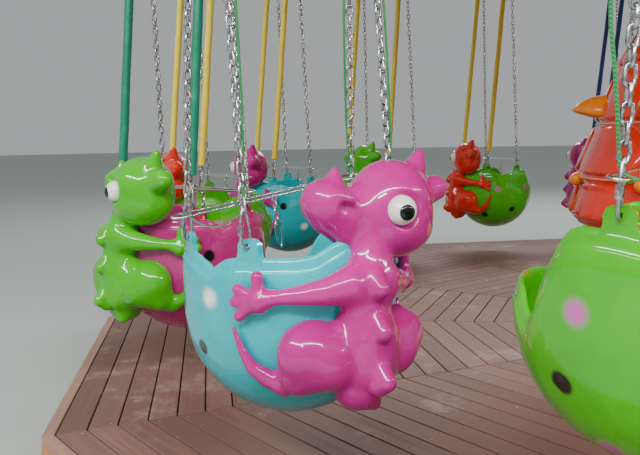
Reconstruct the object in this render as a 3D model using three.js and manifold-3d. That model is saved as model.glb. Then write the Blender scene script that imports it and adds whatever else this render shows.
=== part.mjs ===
// Children's chair swing ride: a timber deck with a clad centre column, a turning sweep frame
// under a roof, and a ring of egg-shaped bucket seats, each hugged by a baby dinosaur and hung
// on four chains, with a lap bar that slides up the front pair of chains.
// Millimetres, +Z up, origin on the ground at the middle of the deck.

import * as THREE from 'three';
import { mergeVertices } from 'three/addons/utils/BufferGeometryUtils.js';
import Module from 'manifold-3d';

const wasm = await Module();
wasm.setup();

// Driving dimensions of the deck
const deckSides = 12;
const deckRadius = 4328;
const deckTop = 160;
const boardThickness = 28;
const fasciaThickness = 22;
const fasciaFoot = 12;
const joistWidth = 90;
const joistReach = deckRadius - 70;
const innerRingRadius = 900;
const deckCornerTurn = Math.PI / deckSides;

// Driving dimensions of the centre
const pedestalRadius = 780;
const pedestalHeight = 660;
const mastRadius = 150;
const mastSides = 16;
const mastClearance = 1;
const mastFlangeRadius = 260;
const mastFlangeThickness = 30;
const lowerCladdingBase = pedestalHeight + deckTop;
const lowerCladdingHeight = 480;
const upperCladdingHeight = 1150;
const claddingLobes = 8;
const claddingLobeDepth = 0.05;

// Driving dimensions of the seat ring and its swing
const seatCount = 16;
const ringRadius = 3540;
const ringPhase = THREE.MathUtils.degToRad(5.16);
const pinHeight = 3600;
const pinRadius = 15;
const pinSides = 8;
const cheekSeat = 32.5;
const runningGap = 0.3;

// Driving dimensions of the tub
const tubBottom = deckTop + 260;
const tubHalfLength = 410;
const tubHalfWidth = 385;
const tubBowlDepth = 400;
const tubWall = 16;
const rimHeights = [475, 425, 632, 615, 625, 630, 685];
const rimStep = Math.PI / 6;
const rimTop = 675;
const lugFoot = 525;

// Driving dimensions of the hangers
const figureScale = 1.08;
const figureDrop = 90;
const spineHeights = [820, 690, 550];
const raisedSeat = 11;
const raisedBy = 170;
const twistDegrees = { 7: -40, 8: -52, 9: -58 };
const eyeRadial = 310;
const eyeFront = -90;
const eyeBack = 225;
const lugWidth = 62;
const lugThickness = 16;
const lugTop = tubBottom + 690;
const hookLength = 50;
const hookRadius = 22;
const frontLean = 0.05;
const rearLean = 0.105;
const strandRadius = 9;
const sleeveRadius = 26;
const sleeveStart = 150;
const strandSides = 4;
const spreaderDrop = 95;
const spreaderHeight = 70;
const spreaderWidth = 70;
const bossLength = 90;
const bossWidth = 50;
const bossCrown = 30;
const bareSeats = [10, 11];

// Driving dimensions of the lap bar
const barThickness = 12;
const barHalfGap = 14;
const barRod = 12;
const barHalfLength = 430;
const barPoint = 40;
const tiltedBar = 10;
const barTilt = THREE.MathUtils.degToRad(7.8);

// Driving dimensions of the sweep frame and the roof
const armBottom = pinHeight + 190;
const armHeight = 110;
const armWidth = 70;
const tieApothem = 2260;
const tieWidth = 60;
const hubRadius = 340;
const hubHeight = 520;
const hubSkirt = 60;
const mastTop = armBottom + hubHeight - 200;
const boardApothem = 4050;
const boardWall = 30;
const roundingHeight = 330;
const roofThickness = 25;
const roofRise = 950;
const roofCap = 360;
const finialHeight = 420;

const round = Math.PI * 2;

// Colours, roughness and metalness of the finishes
function finish(color, roughness, metalness = 0) {
  return new THREE.MeshStandardMaterial({ color, roughness, metalness });
}

const finishes = {
  boards: finish(0x8c6e64, 0.7),
  fascia: finish(0xc08a58, 0.6),
  steel: finish(0x8f9499, 0.4, 0.8),
  galvanised: finish(0xb9bdc0, 0.35, 1),
  stainless: finish(0xd5d8da, 0.2, 1),
  red: finish(0xd23a22, 0.15),
  yellow: finish(0xe8cf3a, 0.2),
  roof: finish(0xd94a35, 0.3),
  eggs: [finish(0x55b032, 0.12), finish(0x46c8c8, 0.12), finish(0xc24f92, 0.12)],
};

// A closed mesh as a solid, and a solid as a closed mesh
function solid(geometry) {
  const bare = geometry.clone();
  bare.deleteAttribute('normal');
  bare.deleteAttribute('uv');
  const merged = mergeVertices(bare, 0.001);
  const vertProperties = new Float32Array(merged.attributes.position.array);
  const triVerts = new Uint32Array(merged.index.array);
  return new wasm.Manifold(new wasm.Mesh({ numProp: 3, vertProperties, triVerts }));
}

function geometryOf(manifold) {
  const mesh = manifold.getMesh();
  const geometry = new THREE.BufferGeometry();
  geometry.setAttribute('position', new THREE.BufferAttribute(mesh.vertProperties, 3));
  geometry.setIndex(new THREE.BufferAttribute(mesh.triVerts, 1));
  return geometry;
}

function joined(geometries) {
  return geometries.map(solid).reduce((all, next) => all.add(next));
}

function cut(geometry, tools) {
  return geometryOf(tools.map(solid).reduce((all, next) => all.subtract(next), solid(geometry)));
}

// Plain shapes, each centred where it is told
function box(x, y, z, cx, cy, cz) {
  return new THREE.BoxGeometry(x, y, z).translate(cx, cy, cz);
}

function drum(radius, bottom, top, sides, turn = 0) {
  const geometry = new THREE.CylinderGeometry(radius, radius, top - bottom, sides);
  return geometry.rotateX(Math.PI / 2).rotateZ(turn).translate(0, 0, (bottom + top) / 2);
}

// A closed tapering limb through a few points, one ring of corners at each
function limb(points, radii, sides = 6) {
  const path = points.map((p) => new THREE.Vector3(...p));
  const vertices = [];
  const faces = [];
  path.forEach((point, i) => {
    const ahead = path[Math.min(i + 1, path.length - 1)];
    const behind = path[Math.max(i - 1, 0)];
    const along = ahead.clone().sub(behind).normalize();
    const helper = Math.abs(along.z) > 0.9 ? new THREE.Vector3(1, 0, 0) : new THREE.Vector3(0, 0, 1);
    const side = new THREE.Vector3().crossVectors(helper, along).normalize();
    const over = new THREE.Vector3().crossVectors(along, side);
    for (let k = 0; k < sides; k += 1) {
      const angle = (k / sides) * round;
      const corner = point.clone();
      corner.addScaledVector(side, radii[i] * Math.cos(angle));
      corner.addScaledVector(over, radii[i] * Math.sin(angle));
      vertices.push(corner.x, corner.y, corner.z);
    }
  });
  for (let i = 0; i + 1 < path.length; i += 1) {
    for (let k = 0; k < sides; k += 1) {
      const a = i * sides + k;
      const b = i * sides + ((k + 1) % sides);
      faces.push(a, b, b + sides, a, b + sides, a + sides);
    }
  }
  const last = (path.length - 1) * sides;
  for (let k = 1; k + 1 < sides; k += 1) {
    faces.push(0, k + 1, k);
    faces.push(last, last + k, last + k + 1);
  }
  const geometry = new THREE.BufferGeometry();
  geometry.setAttribute('position', new THREE.Float32BufferAttribute(vertices, 3));
  geometry.setIndex(faces);
  return geometry;
}

// The tub: height of the broken-shell rim at an angle, a quarter turn being the dinosaur's end.
// Both sides are alike, and the front is cut low for a child's legs.
function rimHeight(angle) {
  const place = (Math.asin(Math.sin(angle)) + Math.PI / 2) / rimStep;
  const before = Math.min(Math.floor(place + 0.001), rimHeights.length - 2);
  return tubBottom + THREE.MathUtils.lerp(rimHeights[before], rimHeights[before + 1], place - before);
}

// One closed bowl surface whose rings follow the tub, pulled in by a wall and cut off at a top
function bowl(wall, topAt, around = 12) {
  const heights = [0.1, 0.42];
  const rings = [];
  const ringAt = (share, z) => {
    const ring = [];
    for (let k = 0; k < around; k += 1) {
      const angle = (k / around) * round;
      const x = (tubHalfWidth - wall) * share * Math.cos(angle);
      const y = (tubHalfLength - wall) * share * Math.sin(angle);
      ring.push([x, y, typeof z === 'number' ? z : z(angle)]);
    }
    return ring;
  };
  for (const height of heights) {
    const z = tubBottom + wall + height * (tubBowlDepth - wall);
    rings.push(ringAt(Math.sqrt(1 - (1 - height) ** 2), z));
  }
  rings.push(ringAt(1, tubBottom + tubBowlDepth));
  rings.push(ringAt(1, topAt));
  const vertices = [0, 0, tubBottom + wall];
  rings.flat().forEach((corner) => vertices.push(...corner));
  const topCentre = vertices.length / 3;
  const topZ = rings[rings.length - 1].reduce((sum, corner) => sum + corner[2], 0) / around;
  vertices.push(0, 0, topZ);
  const faces = [];
  for (let k = 0; k < around; k += 1) {
    const next = (k + 1) % around;
    faces.push(0, 1 + next, 1 + k);
    for (let i = 0; i + 1 < rings.length; i += 1) {
      const low = 1 + i * around;
      faces.push(low + k, low + next, low + around + next);
      faces.push(low + k, low + around + next, low + around + k);
    }
    const rim = 1 + (rings.length - 1) * around;
    faces.push(topCentre, rim + k, rim + next);
  }
  const geometry = new THREE.BufferGeometry();
  geometry.setAttribute('position', new THREE.Float32BufferAttribute(vertices, 3));
  geometry.setIndex(faces);
  return geometry;
}

// The baby dinosaur that hugs the tub from behind, in the tub's own directions:
// x outwards from the ride's middle, y towards the dinosaur, z up from the deck
function dinosaurParts() {
  const trunk = limb([[-12, 0, 430], [-12, 10, 545], [-8, 5, 700], [-26, -8, 870], [-70, -60, 985]],
    [58, 106, 96, 62, 66], 5);
  const parts = [
    trunk.scale(1, 0.7, 1).translate(0, 404, 0),
    limb([[-330, 372, 1090], [-258, 366, 1050], [-140, 354, 1038], [30, 335, 1032], [160, 318, 1036]],
      [42, 122, 155, 92, 50], 6),
    limb([[-232, 364, 1150], [-268, 362, 1220]], [48, 14], 3),
    limb([[58, 334, 1095], [59, 334, 1170]], [48, 12], 3),
  ];
  for (const height of spineHeights) {
    parts.push(limb([[-14, 430, height], [-14, 522, height + 10]], [50, 10], 3));
  }
  for (const hand of [-1, 1]) {
    parts.push(limb([[hand * 55, 425, 838], [hand * 272, 324, 804], [hand * 342, 236, 786]],
      [54, 30, 50], 4));
    parts.push(limb([[hand * 60, 395, 650], [hand * 165, 345, 628], [hand * 192, 272, 500],
      [hand * 330, 190, 690]], [80, 94, 44, 10], 5));
  }
  return parts.map((part) => part.translate(0, 0, -figureDrop)
    .scale(figureScale, figureScale, figureScale).translate(0, 0, deckTop));
}

function lugParts() {
  const parts = [];
  for (const side of [-1, 1]) {
    for (const eye of [eyeFront, eyeBack]) {
      const foot = tubBottom + lugFoot;
      parts.push(box(lugThickness, lugWidth, lugTop - foot, side * lugSeat(eye), eye, (lugTop + foot) / 2));
    }
  }
  return parts;
}

// How far out a lug stands so that it grows out of the tub's wall
function lugSeat(eye) {
  return (tubHalfWidth - tubWall / 2) * Math.sqrt(1 - (eye / tubHalfLength) ** 2);
}

function seatGeometry() {
  const outer = solid(bowl(0, rimHeight));
  const hollow = solid(bowl(tubWall, (angle) => rimHeight(angle) + 40));
  const cavity = solid(bowl(tubWall, () => tubBottom + rimTop));
  const dinosaur = joined(dinosaurParts());
  const shell = outer.subtract(hollow);
  return geometryOf(shell.add(joined(lugParts())).add(dinosaur.subtract(cavity)));
}

// One hanger: a boss on the swing pin, a spreader under it and two chains from each of its ends,
// drawn from the seat up, so that a raised seat has shorter chains
function chainPoint(side, eye, height, raised = 0) {
  const share = (height - lugTop) / (pinHeight - spreaderDrop - raised - lugTop);
  const out = lugSeat(eye) + (eyeRadial - lugSeat(eye)) * share;
  return [side * out, eye * (1 - share), height];
}

function hangerGeometry(sleeved, raised, twist) {
  const pinAt = pinHeight - raised;
  const top = pinAt - spreaderDrop;
  const bossTop = pinAt + bossCrown;
  const parts = [box(2 * eyeRadial + 60, spreaderWidth, spreaderHeight, 0, 0, top)];
  parts.push(box(bossLength, bossWidth, bossTop - top, 0, 0, (top + bossTop) / 2).rotateZ(-twist));
  const hookTop = lugTop + hookLength;
  const hookFoot = lugTop + runningGap + hookRadius * rearLean;
  for (const side of [-1, 1]) {
    for (const eye of [eyeFront, eyeBack]) {
      const thick = sleeved && eye === eyeBack;
      const change = lugTop + sleeveStart;
      const heights = thick ? [hookFoot, hookTop, hookTop + 1, change, change + 1, top]
        : [hookFoot, hookTop, hookTop + 1, top];
      const radii = [hookRadius, hookRadius, strandRadius, strandRadius, sleeveRadius, sleeveRadius];
      const points = heights.map((height) => chainPoint(side, eye, height, raised));
      parts.push(limb(points, radii.slice(0, points.length), strandSides));
    }
  }
  const boreRadius = (pinRadius + runningGap) / Math.cos(Math.PI / pinSides);
  const bore = new THREE.CylinderGeometry(boreRadius, boreRadius, 2 * bossWidth, pinSides);
  bore.rotateY(Math.PI / pinSides).translate(0, 0, pinAt).rotateZ(-twist);
  return geometryOf(joined(parts).subtract(solid(bore)));
}

// One lap bar: two rods that close round the front pair of chains, with pointed ends.
// A tilted one bears on its outer hook and rises towards the middle of the ride.
function lapBarGeometry(tilt = 0) {
  const outline = (half, width) => [
    [-half, 0], [-half + barPoint, -width], [half - barPoint, -width],
    [half, 0], [half - barPoint, width], [-half + barPoint, width],
  ].map(([x, y]) => new THREE.Vector2(x, y));
  const shape = new THREE.Shape(outline(barHalfLength, barHalfGap + barRod));
  shape.holes.push(new THREE.Path(outline(barHalfLength - barRod, barHalfGap)));
  const geometry = new THREE.ExtrudeGeometry(shape, { depth: barThickness, bevelEnabled: false });
  const rest = lugTop + hookLength + runningGap + hookRadius * frontLean;
  const bearing = lugSeat(eyeFront) + hookRadius;
  geometry.translate(-bearing, 0, 0).rotateY(tilt).translate(bearing, 0, 0);
  return geometry.translate(0, chainPoint(1, eyeFront, rest + barThickness / 2)[1], rest);
}

// Deck: boards, fascia and the frame with its feet on the ground
function deckPolygon(radius) {
  const points = [];
  for (let k = 0; k < deckSides; k += 1) {
    const angle = (k / deckSides) * round + deckCornerTurn;
    points.push(new THREE.Vector2(radius * Math.cos(angle), radius * Math.sin(angle)));
  }
  return points;
}

function deckRing(outer, inner, bottom, top) {
  const shape = new THREE.Shape(deckPolygon(outer));
  shape.holes.push(new THREE.Path(deckPolygon(inner)));
  const geometry = new THREE.ExtrudeGeometry(shape, { depth: top - bottom, bevelEnabled: false });
  return geometry.translate(0, 0, bottom);
}

function deckFrameGeometry() {
  const top = deckTop - boardThickness - runningGap;
  const frameOuter = deckRadius - (fasciaThickness + 1) / Math.cos(Math.PI / deckSides);
  const rings = [frameOuter, innerRingRadius];
  const parts = rings.map((radius) => deckRing(radius, radius - joistWidth, 0, top));
  for (let k = 0; k < deckSides; k += 1) {
    const joist = box(joistReach - innerRingRadius + joistWidth, joistWidth, top,
      (joistReach + innerRingRadius - joistWidth) / 2, 0, top / 2);
    parts.push(joist.rotateZ((k / deckSides) * round + deckCornerTurn));
  }
  return geometryOf(joined(parts));
}

// Centre cladding: a lobed skirt and a lobed cone over it, both round the mast
function lobedRing(profile, lobes, depth, bore) {
  const around = lobes * 3;
  const geometry = new THREE.LatheGeometry(
    profile.map(([radius, height]) => new THREE.Vector2(radius, height)), around).rotateX(Math.PI / 2);
  const position = geometry.attributes.position;
  for (let i = 0; i < position.count; i += 1) {
    const x = position.getX(i);
    const y = position.getY(i);
    const reach = Math.hypot(x, y);
    const scale = reach > bore + 5 ? 1 + depth * Math.cos(lobes * Math.atan2(y, x)) : 1;
    position.setXY(i, x * scale, y * scale);
  }
  return geometry;
}

function lowerCladdingGeometry() {
  const base = lowerCladdingBase + runningGap;
  const bore = (mastRadius + runningGap) / Math.cos(Math.PI / (3 * claddingLobes));
  const profile = [[bore, base], [960, base], [1075, base + 60], [1060, base + 180], [985, base + 290],
    [1010, base + 400], [960, base + lowerCladdingHeight], [bore, base + lowerCladdingHeight], [bore, base]];
  return lobedRing(profile, claddingLobes, claddingLobeDepth, bore);
}

function upperCladdingGeometry() {
  const base = lowerCladdingBase + lowerCladdingHeight + 2 * runningGap;
  const bore = (mastRadius + runningGap) / Math.cos(Math.PI / (3 * claddingLobes));
  const profile = [[bore, base], [900, base], [985, base + 150], [820, base + 330], [680, base + 600],
    [520, base + 880], [400, base + upperCladdingHeight], [bore, base + upperCladdingHeight], [bore, base]];
  return lobedRing(profile, claddingLobes, claddingLobeDepth, bore);
}

function mastGeometry() {
  const foot = lowerCladdingBase + runningGap;
  const flange = armBottom - hubSkirt - mastFlangeThickness;
  const parts = [drum(mastRadius, foot, mastTop, mastSides)];
  parts.push(drum(mastFlangeRadius, flange, flange + mastFlangeThickness, mastSides));
  return geometryOf(joined(parts));
}

// Turning head: hub, sweep frame with a clevis and a pin for each seat, rounding board, roof, finial
function hubGeometry() {
  const bottom = armBottom - hubSkirt + runningGap;
  const faceTurn = ringPhase + Math.PI / seatCount;
  const corner = hubRadius / Math.cos(Math.PI / seatCount);
  const body = drum(corner, bottom, bottom + hubHeight, seatCount, faceTurn);
  const bore = (mastRadius + mastClearance) / Math.cos(Math.PI / mastSides);
  return cut(body, [drum(bore, bottom - 10, mastTop + mastClearance, mastSides)]);
}

function sweepFrameGeometry() {
  const reach = boardApothem - boardWall - runningGap;
  const start = hubRadius + runningGap;
  const middle = armBottom + armHeight / 2;
  const cheekTop = armBottom + 20;
  const cheekFoot = pinHeight - 30;
  const shape = new THREE.Shape(ringPolygon(tieApothem));
  shape.holes.push(new THREE.Path(ringPolygon(tieApothem - tieWidth)));
  const tie = new THREE.ExtrudeGeometry(shape, { depth: armHeight - 40, bevelEnabled: false });
  const parts = [tie.translate(0, 0, armBottom + 20)];
  for (let k = 0; k < seatCount; k += 1) {
    const turn = (k / seatCount) * round + ringPhase;
    const arm = [box(reach - start, armWidth, armHeight, (reach + start) / 2, 0, middle)];
    for (const side of [-1, 1]) {
      arm.push(box(90, 14, cheekTop - cheekFoot, ringRadius, side * cheekSeat, (cheekTop + cheekFoot) / 2));
    }
    const pin = new THREE.CylinderGeometry(pinRadius, pinRadius, 2 * cheekSeat, pinSides);
    arm.push(pin.rotateY(Math.PI / pinSides).translate(ringRadius, 0, pinHeight));
    arm.forEach((piece) => parts.push(piece.rotateZ(turn)));
  }
  return geometryOf(joined(parts));
}

function ringPolygon(apothem) {
  const radius = apothem / Math.cos(Math.PI / seatCount);
  const points = [];
  for (let k = 0; k < seatCount; k += 1) {
    const angle = ((k + 0.5) / seatCount) * round + ringPhase;
    points.push(new THREE.Vector2(radius * Math.cos(angle), radius * Math.sin(angle)));
  }
  return points;
}

function roundingBoardGeometry() {
  const shape = new THREE.Shape(ringPolygon(boardApothem));
  shape.holes.push(new THREE.Path(ringPolygon(boardApothem - boardWall)));
  const board = new THREE.ExtrudeGeometry(shape, { depth: roundingHeight, bevelEnabled: false });
  return board.translate(0, 0, armBottom);
}

function roofGeometry() {
  const eave = armBottom + roundingHeight + runningGap;
  const reach = boardApothem / Math.cos(Math.PI / seatCount);
  const profile = [[roofCap, eave + roofRise], [reach, eave + roofThickness], [reach, eave],
    [reach - 90, eave], [roofCap, eave + roofRise - roofThickness], [roofCap, eave + roofRise]];
  const points = profile.map(([radius, height]) => new THREE.Vector2(radius, height)).reverse();
  const turn = ringPhase + Math.PI / seatCount;
  return new THREE.LatheGeometry(points, seatCount).rotateX(Math.PI / 2).rotateZ(turn + Math.PI / 2);
}

function finialGeometry() {
  const top = armBottom + roundingHeight + roofRise + 2 * runningGap;
  const hubTop = armBottom - hubSkirt + hubHeight + 2 * runningGap;
  const plug = roofCap * Math.cos(Math.PI / seatCount) - 5;
  const profile = [[0, hubTop], [120, hubTop], [120, top - 60], [plug, top - 60], [plug, top],
    [roofCap + 40, top], [roofCap + 40, top + 30], [150, top + 70], [210, top + 180], [190, top + 290],
    [100, top + 390], [0, top + finialHeight]];
  const points = profile.map(([radius, height]) => new THREE.Vector2(radius, height));
  return new THREE.LatheGeometry(points, 12).rotateX(Math.PI / 2);
}

// The scene graph
const ride = new THREE.Group();

function named(name, geometry, material, parent = ride) {
  const mesh = new THREE.Mesh(geometry, material);
  mesh.name = name;
  parent.add(mesh);
  return mesh;
}

named('deck_frame', deckFrameGeometry(), finishes.steel);
named('deck_boards', deckRing(deckRadius, (pedestalRadius + 0.5) / Math.cos(Math.PI / deckSides),
  deckTop - boardThickness, deckTop), finishes.boards);
named('deck_fascia', deckRing(deckRadius, deckRadius - fasciaThickness, fasciaFoot,
  deckTop - boardThickness - runningGap), finishes.fascia);
named('centre_pedestal', drum(pedestalRadius, 0, lowerCladdingBase, 24), finishes.yellow);
named('mast', mastGeometry(), finishes.yellow);
named('lower_cladding', lowerCladdingGeometry(), finishes.red);
named('upper_cladding', upperCladdingGeometry(), finishes.red);
named('rotor_hub', hubGeometry(), finishes.steel);
named('sweep_frame', sweepFrameGeometry(), finishes.yellow);
named('rounding_board', roundingBoardGeometry(), finishes.yellow);
named('roof', roofGeometry(), finishes.roof);
named('finial', finialGeometry(), finishes.eggs[0]);

const seat = seatGeometry();
const levelBar = lapBarGeometry();
for (let k = 0; k < seatCount; k += 1) {
  const number = String(k + 1).padStart(2, '0');
  const turn = (k / seatCount) * round + ringPhase;
  const raised = k + 1 === raisedSeat ? raisedBy : 0;
  const twist = THREE.MathUtils.degToRad(twistDegrees[k + 1] ?? 0);
  const station = new THREE.Group();
  station.position.set(ringRadius * Math.cos(turn), ringRadius * Math.sin(turn), 0);
  station.rotation.z = turn;
  ride.add(station);
  const hung = new THREE.Group();
  hung.position.z = raised;
  hung.rotation.z = twist;
  station.add(hung);
  const egg = finishes.eggs[(raisedSeat - 1 - k + 3 * seatCount) % finishes.eggs.length];
  named(`seat_${number}`, seat, egg, hung);
  const hanger = hangerGeometry(!bareSeats.includes(k + 1), raised, twist);
  named(`hanger_${number}`, hanger, finishes.galvanised, hung);
  const lapBar = k + 1 === tiltedBar ? lapBarGeometry(barTilt) : levelBar;
  named(`lap_bar_${number}`, lapBar, finishes.stainless, hung);
}

export default ride;
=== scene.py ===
"""Looks of the children's chair swing ride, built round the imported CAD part."""

import math
import random

import bmesh
import bpy
import numpy as np
from mathutils import Matrix, Vector


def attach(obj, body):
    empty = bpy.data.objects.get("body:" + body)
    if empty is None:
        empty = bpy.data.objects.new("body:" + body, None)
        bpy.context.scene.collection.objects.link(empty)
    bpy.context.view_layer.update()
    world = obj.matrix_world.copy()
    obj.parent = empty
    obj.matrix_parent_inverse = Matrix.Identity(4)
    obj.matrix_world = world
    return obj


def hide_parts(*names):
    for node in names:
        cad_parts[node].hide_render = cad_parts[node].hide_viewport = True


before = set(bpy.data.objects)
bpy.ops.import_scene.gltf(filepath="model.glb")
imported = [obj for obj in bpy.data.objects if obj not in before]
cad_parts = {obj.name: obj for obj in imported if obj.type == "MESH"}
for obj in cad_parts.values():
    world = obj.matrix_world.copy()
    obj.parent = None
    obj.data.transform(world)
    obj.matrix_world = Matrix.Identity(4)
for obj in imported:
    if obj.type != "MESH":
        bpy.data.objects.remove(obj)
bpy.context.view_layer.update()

TURN = 2 * math.pi

# Sizes of the ride in metres, the same as in the part
SEATS = 16
RING_RADIUS = 3.540
RING_PHASE = math.radians(5.16)
PIN_HEIGHT = 3.600
DECK_TOP = 0.160
DECK_SIDES = 12
DECK_APOTHEM = 4.328 * math.cos(math.pi / DECK_SIDES)
BOARD_THICKNESS = 0.028
TUB_BOTTOM = DECK_TOP + 0.260
TUB_HALF_LENGTH = 0.410
TUB_HALF_WIDTH = 0.385
TUB_BOWL = 0.400
TUB_WALL = 0.016
LUG_TOP = TUB_BOTTOM + 0.690
LUG_FRONT = -0.090
LUG_BACK = 0.225
SPREADER_REACH = 0.310
SPREADER_DROP = 0.095
SPREADER_HALF_HEIGHT = 0.035
HOOK_LENGTH = 0.050
SLEEVE_START = 0.150

# Seats that hang higher, are turned on their chains or have a tilted bar in the photo
RAISED = {11: 0.170}
TWISTED = {7: math.radians(-40), 8: math.radians(-52), 9: math.radians(-58)}
TILTED_BARS = {10: math.radians(7.8)}
BARE_CHAINS = (10, 11)

# The dinosaur's final size, and how much lower it sits than it was drawn
FIGURE_SCALE = 1.08
FIGURE_DROP = 0.090


def put_in_scene(name, data):
    holder = bpy.data.objects.new(name, data)
    bpy.context.scene.collection.objects.link(holder)
    return holder


# Camera: the photo's own, with its focal length in the photo's pixels

PHOTO_WIDTH = 640
FOCAL_LENGTH = 751.4
FILM_WIDTH = 36.0
VIEWPOINT = (-3.421, -4.400, 1.431)
AZIMUTH = math.radians(81.66)
PITCH = math.radians(-6.82)
ROLL = math.radians(-0.94)


def make_camera():
    camera = bpy.data.cameras.new("camera")
    camera.sensor_width = FILM_WIDTH
    camera.lens = FOCAL_LENGTH / PHOTO_WIDTH * FILM_WIDTH
    camera.clip_end = 400
    forward = Vector((math.cos(AZIMUTH) * math.cos(PITCH), math.sin(AZIMUTH) * math.cos(PITCH), math.sin(PITCH)))
    level = Vector((math.sin(AZIMUTH), -math.cos(AZIMUTH), 0))
    above = level.cross(forward)
    right = level * math.cos(ROLL) + above * math.sin(ROLL)
    up = above * math.cos(ROLL) - level * math.sin(ROLL)
    turn = Matrix((right, up, -forward)).transposed()
    holder = put_in_scene("camera", camera)
    holder.matrix_world = Matrix.Translation(VIEWPOINT) @ turn.to_4x4()
    bpy.context.scene.camera = holder


make_camera()


# Node trees and materials

class Signal:
    """A socket in a tree: sums, differences and products on it add Math nodes."""

    def __init__(self, owner, socket):
        self.owner = owner
        self.socket = socket

    def work(self, operation, first, second):
        return self.owner.node("ShaderNodeMath", {"operation": operation}, {0: first, 1: second})

    def __add__(self, other):
        return self.work("ADD", self, other)

    def __sub__(self, other):
        return self.work("SUBTRACT", self, other)

    def __rsub__(self, other):
        return self.work("SUBTRACT", other, self)

    def __mul__(self, other):
        return self.work("MULTIPLY", self, other)

    __radd__ = __add__
    __rmul__ = __mul__


class Bench:
    """Where a tree is built: one method makes any node."""

    def plug(self, socket, value):
        """Feeds a socket from another, or sets its value."""
        if isinstance(value, Signal):
            self.tree.links.new(value.socket, socket)
        else:
            socket.default_value = value

    def node(self, kind, settings=None, sockets=None, output=0):
        """Adds a node, sets what it is told and gives one of its outputs."""
        made = self.tree.nodes.new(kind)
        for label, value in (settings or {}).items():
            setattr(made, label, value)
        for label, value in (sockets or {}).items():
            self.plug(made.inputs[label], value)
        return Signal(self, made.outputs[output])


class Finish(Bench):
    """A material with one Principled shader."""

    def __init__(self, name, **constants):
        self.material = bpy.data.materials.new(name)
        self.material.use_nodes = True
        self.tree = self.material.node_tree
        self.shader = self.tree.nodes["Principled BSDF"]
        for label, value in constants.items():
            self.put(label.replace("_", " "), value)

    def put(self, label, value):
        """Sets or feeds one of the shader's sockets."""
        self.plug(self.shader.inputs[label], value)

    def place(self):
        """Where a point of the piece is, in metres."""
        return self.node("ShaderNodeTexCoord", output=3)

    def own(self, attribute, output=1):
        """A mesh attribute: output 1 is its vector, 2 its single number."""
        return self.node("ShaderNodeAttribute", {"attribute_name": attribute}, output=output)

    def noise(self, where, scale, detail=2.0, roughness=0.5):
        """Cloudy values from 0 to 1."""
        return self.node("ShaderNodeTexNoise", sockets={
            "Vector": where, "Scale": scale, "Detail": detail, "Roughness": roughness})

    def ramp(self, value, low, high):
        """0 up to low, 1 from high."""
        return self.node("ShaderNodeMapRange", {"interpolation_type": "SMOOTHSTEP"}, {
            "Value": value, "From Min": low, "From Max": high})

    def blend(self, share, first, second):
        """Mixes two colours."""
        return self.node("ShaderNodeMix", {"data_type": "RGBA"}, {0: share, 6: first, 7: second}, output=2)

    def stretch(self, where, scale):
        return self.node("ShaderNodeMapping", sockets={"Vector": where, "Scale": scale})

    def apart(self, where, point):
        """How far a place is from a point, in metres."""
        return self.node("ShaderNodeVectorMath", {"operation": "DISTANCE"}, {0: where, 1: point}, output=1)

    def bump(self, height, strength, distance):
        self.put("Normal", self.node("ShaderNodeBump", sockets={
            "Strength": strength, "Distance": distance, "Height": height}))


def colour(red, green, blue):
    """A colour given as seen on screen, made linear."""
    def linear(level):
        share = level / 255
        return share / 12.92 if share <= 0.04045 else ((share + 0.055) / 1.055) ** 2.4
    return (linear(red), linear(green), linear(blue), 1.0)


def shade(base, by):
    """The same colour, lighter or darker."""
    return (min(base[0] * by, 1), min(base[1] * by, 1), min(base[2] * by, 1), 1.0)


def gelcoat(name, base, attribute=None, spots=()):
    """Glossy painted glass fibre: a clear coat over a slightly uneven colour, with thin grime."""
    coat = Finish(name, Coat_Roughness=0.02, Coat_IOR=1.5, Specular_IOR_Level=0.12)
    where = coat.own(attribute) if attribute else coat.place()
    mottle = coat.noise(where, 4.0, 3.0, 0.6)
    tint = coat.blend(coat.ramp(mottle, 0.3, 0.7), shade(base, 0.84), shade(base, 1.06))
    for point, size, paint in spots:
        soft = 0.35 if paint == BLACK else 0.80
        share = 1 - coat.ramp(coat.apart(where, point), size * (1.05 - soft), size * (1.05 + soft * 0.3))
        tint = coat.blend(share, tint, paint)
    grime = coat.ramp(coat.noise(where, 26.0, 5.0, 0.65), 0.58, 0.80)
    coat.put("Base Color", coat.blend(grime * 0.05, tint, colour(205, 200, 190)))
    coat.put("Roughness", coat.ramp(coat.noise(where, 14.0, 4.0, 0.6), 0.35, 0.75) * 0.14 + 0.16)
    coat.put("Coat Weight", 1.0 - grime * 0.4)
    coat.bump(coat.noise(where, 7.0, 1.5, 0.4), 0.30, 0.012)
    return coat.material


def painted_steel(name, base):
    """Enamelled steel with clouds of dust and a little rust in the worn places."""
    paint = Finish(name, Specular_IOR_Level=0.5, Coat_Roughness=0.1)
    where = paint.place()
    worn = paint.ramp(paint.noise(where, 22.0, 6.0, 0.7), 0.66, 0.72) * 0.35
    dust = paint.noise(where, 3.5, 4.0, 0.6)
    tint = paint.blend(paint.ramp(dust, 0.35, 0.75), base, shade(base, 0.78))
    paint.put("Base Color", paint.blend(worn, tint, colour(105, 70, 50)))
    paint.put("Roughness", worn * 0.4 + paint.ramp(dust, 0.3, 0.8) * 0.2 + 0.2)
    paint.put("Coat Weight", 0.5 - worn * 0.5)
    paint.bump(paint.noise(where, 90.0, 2.0) * 0.3 - worn * 0.5, 0.15, 0.004)
    return paint.material


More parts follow.
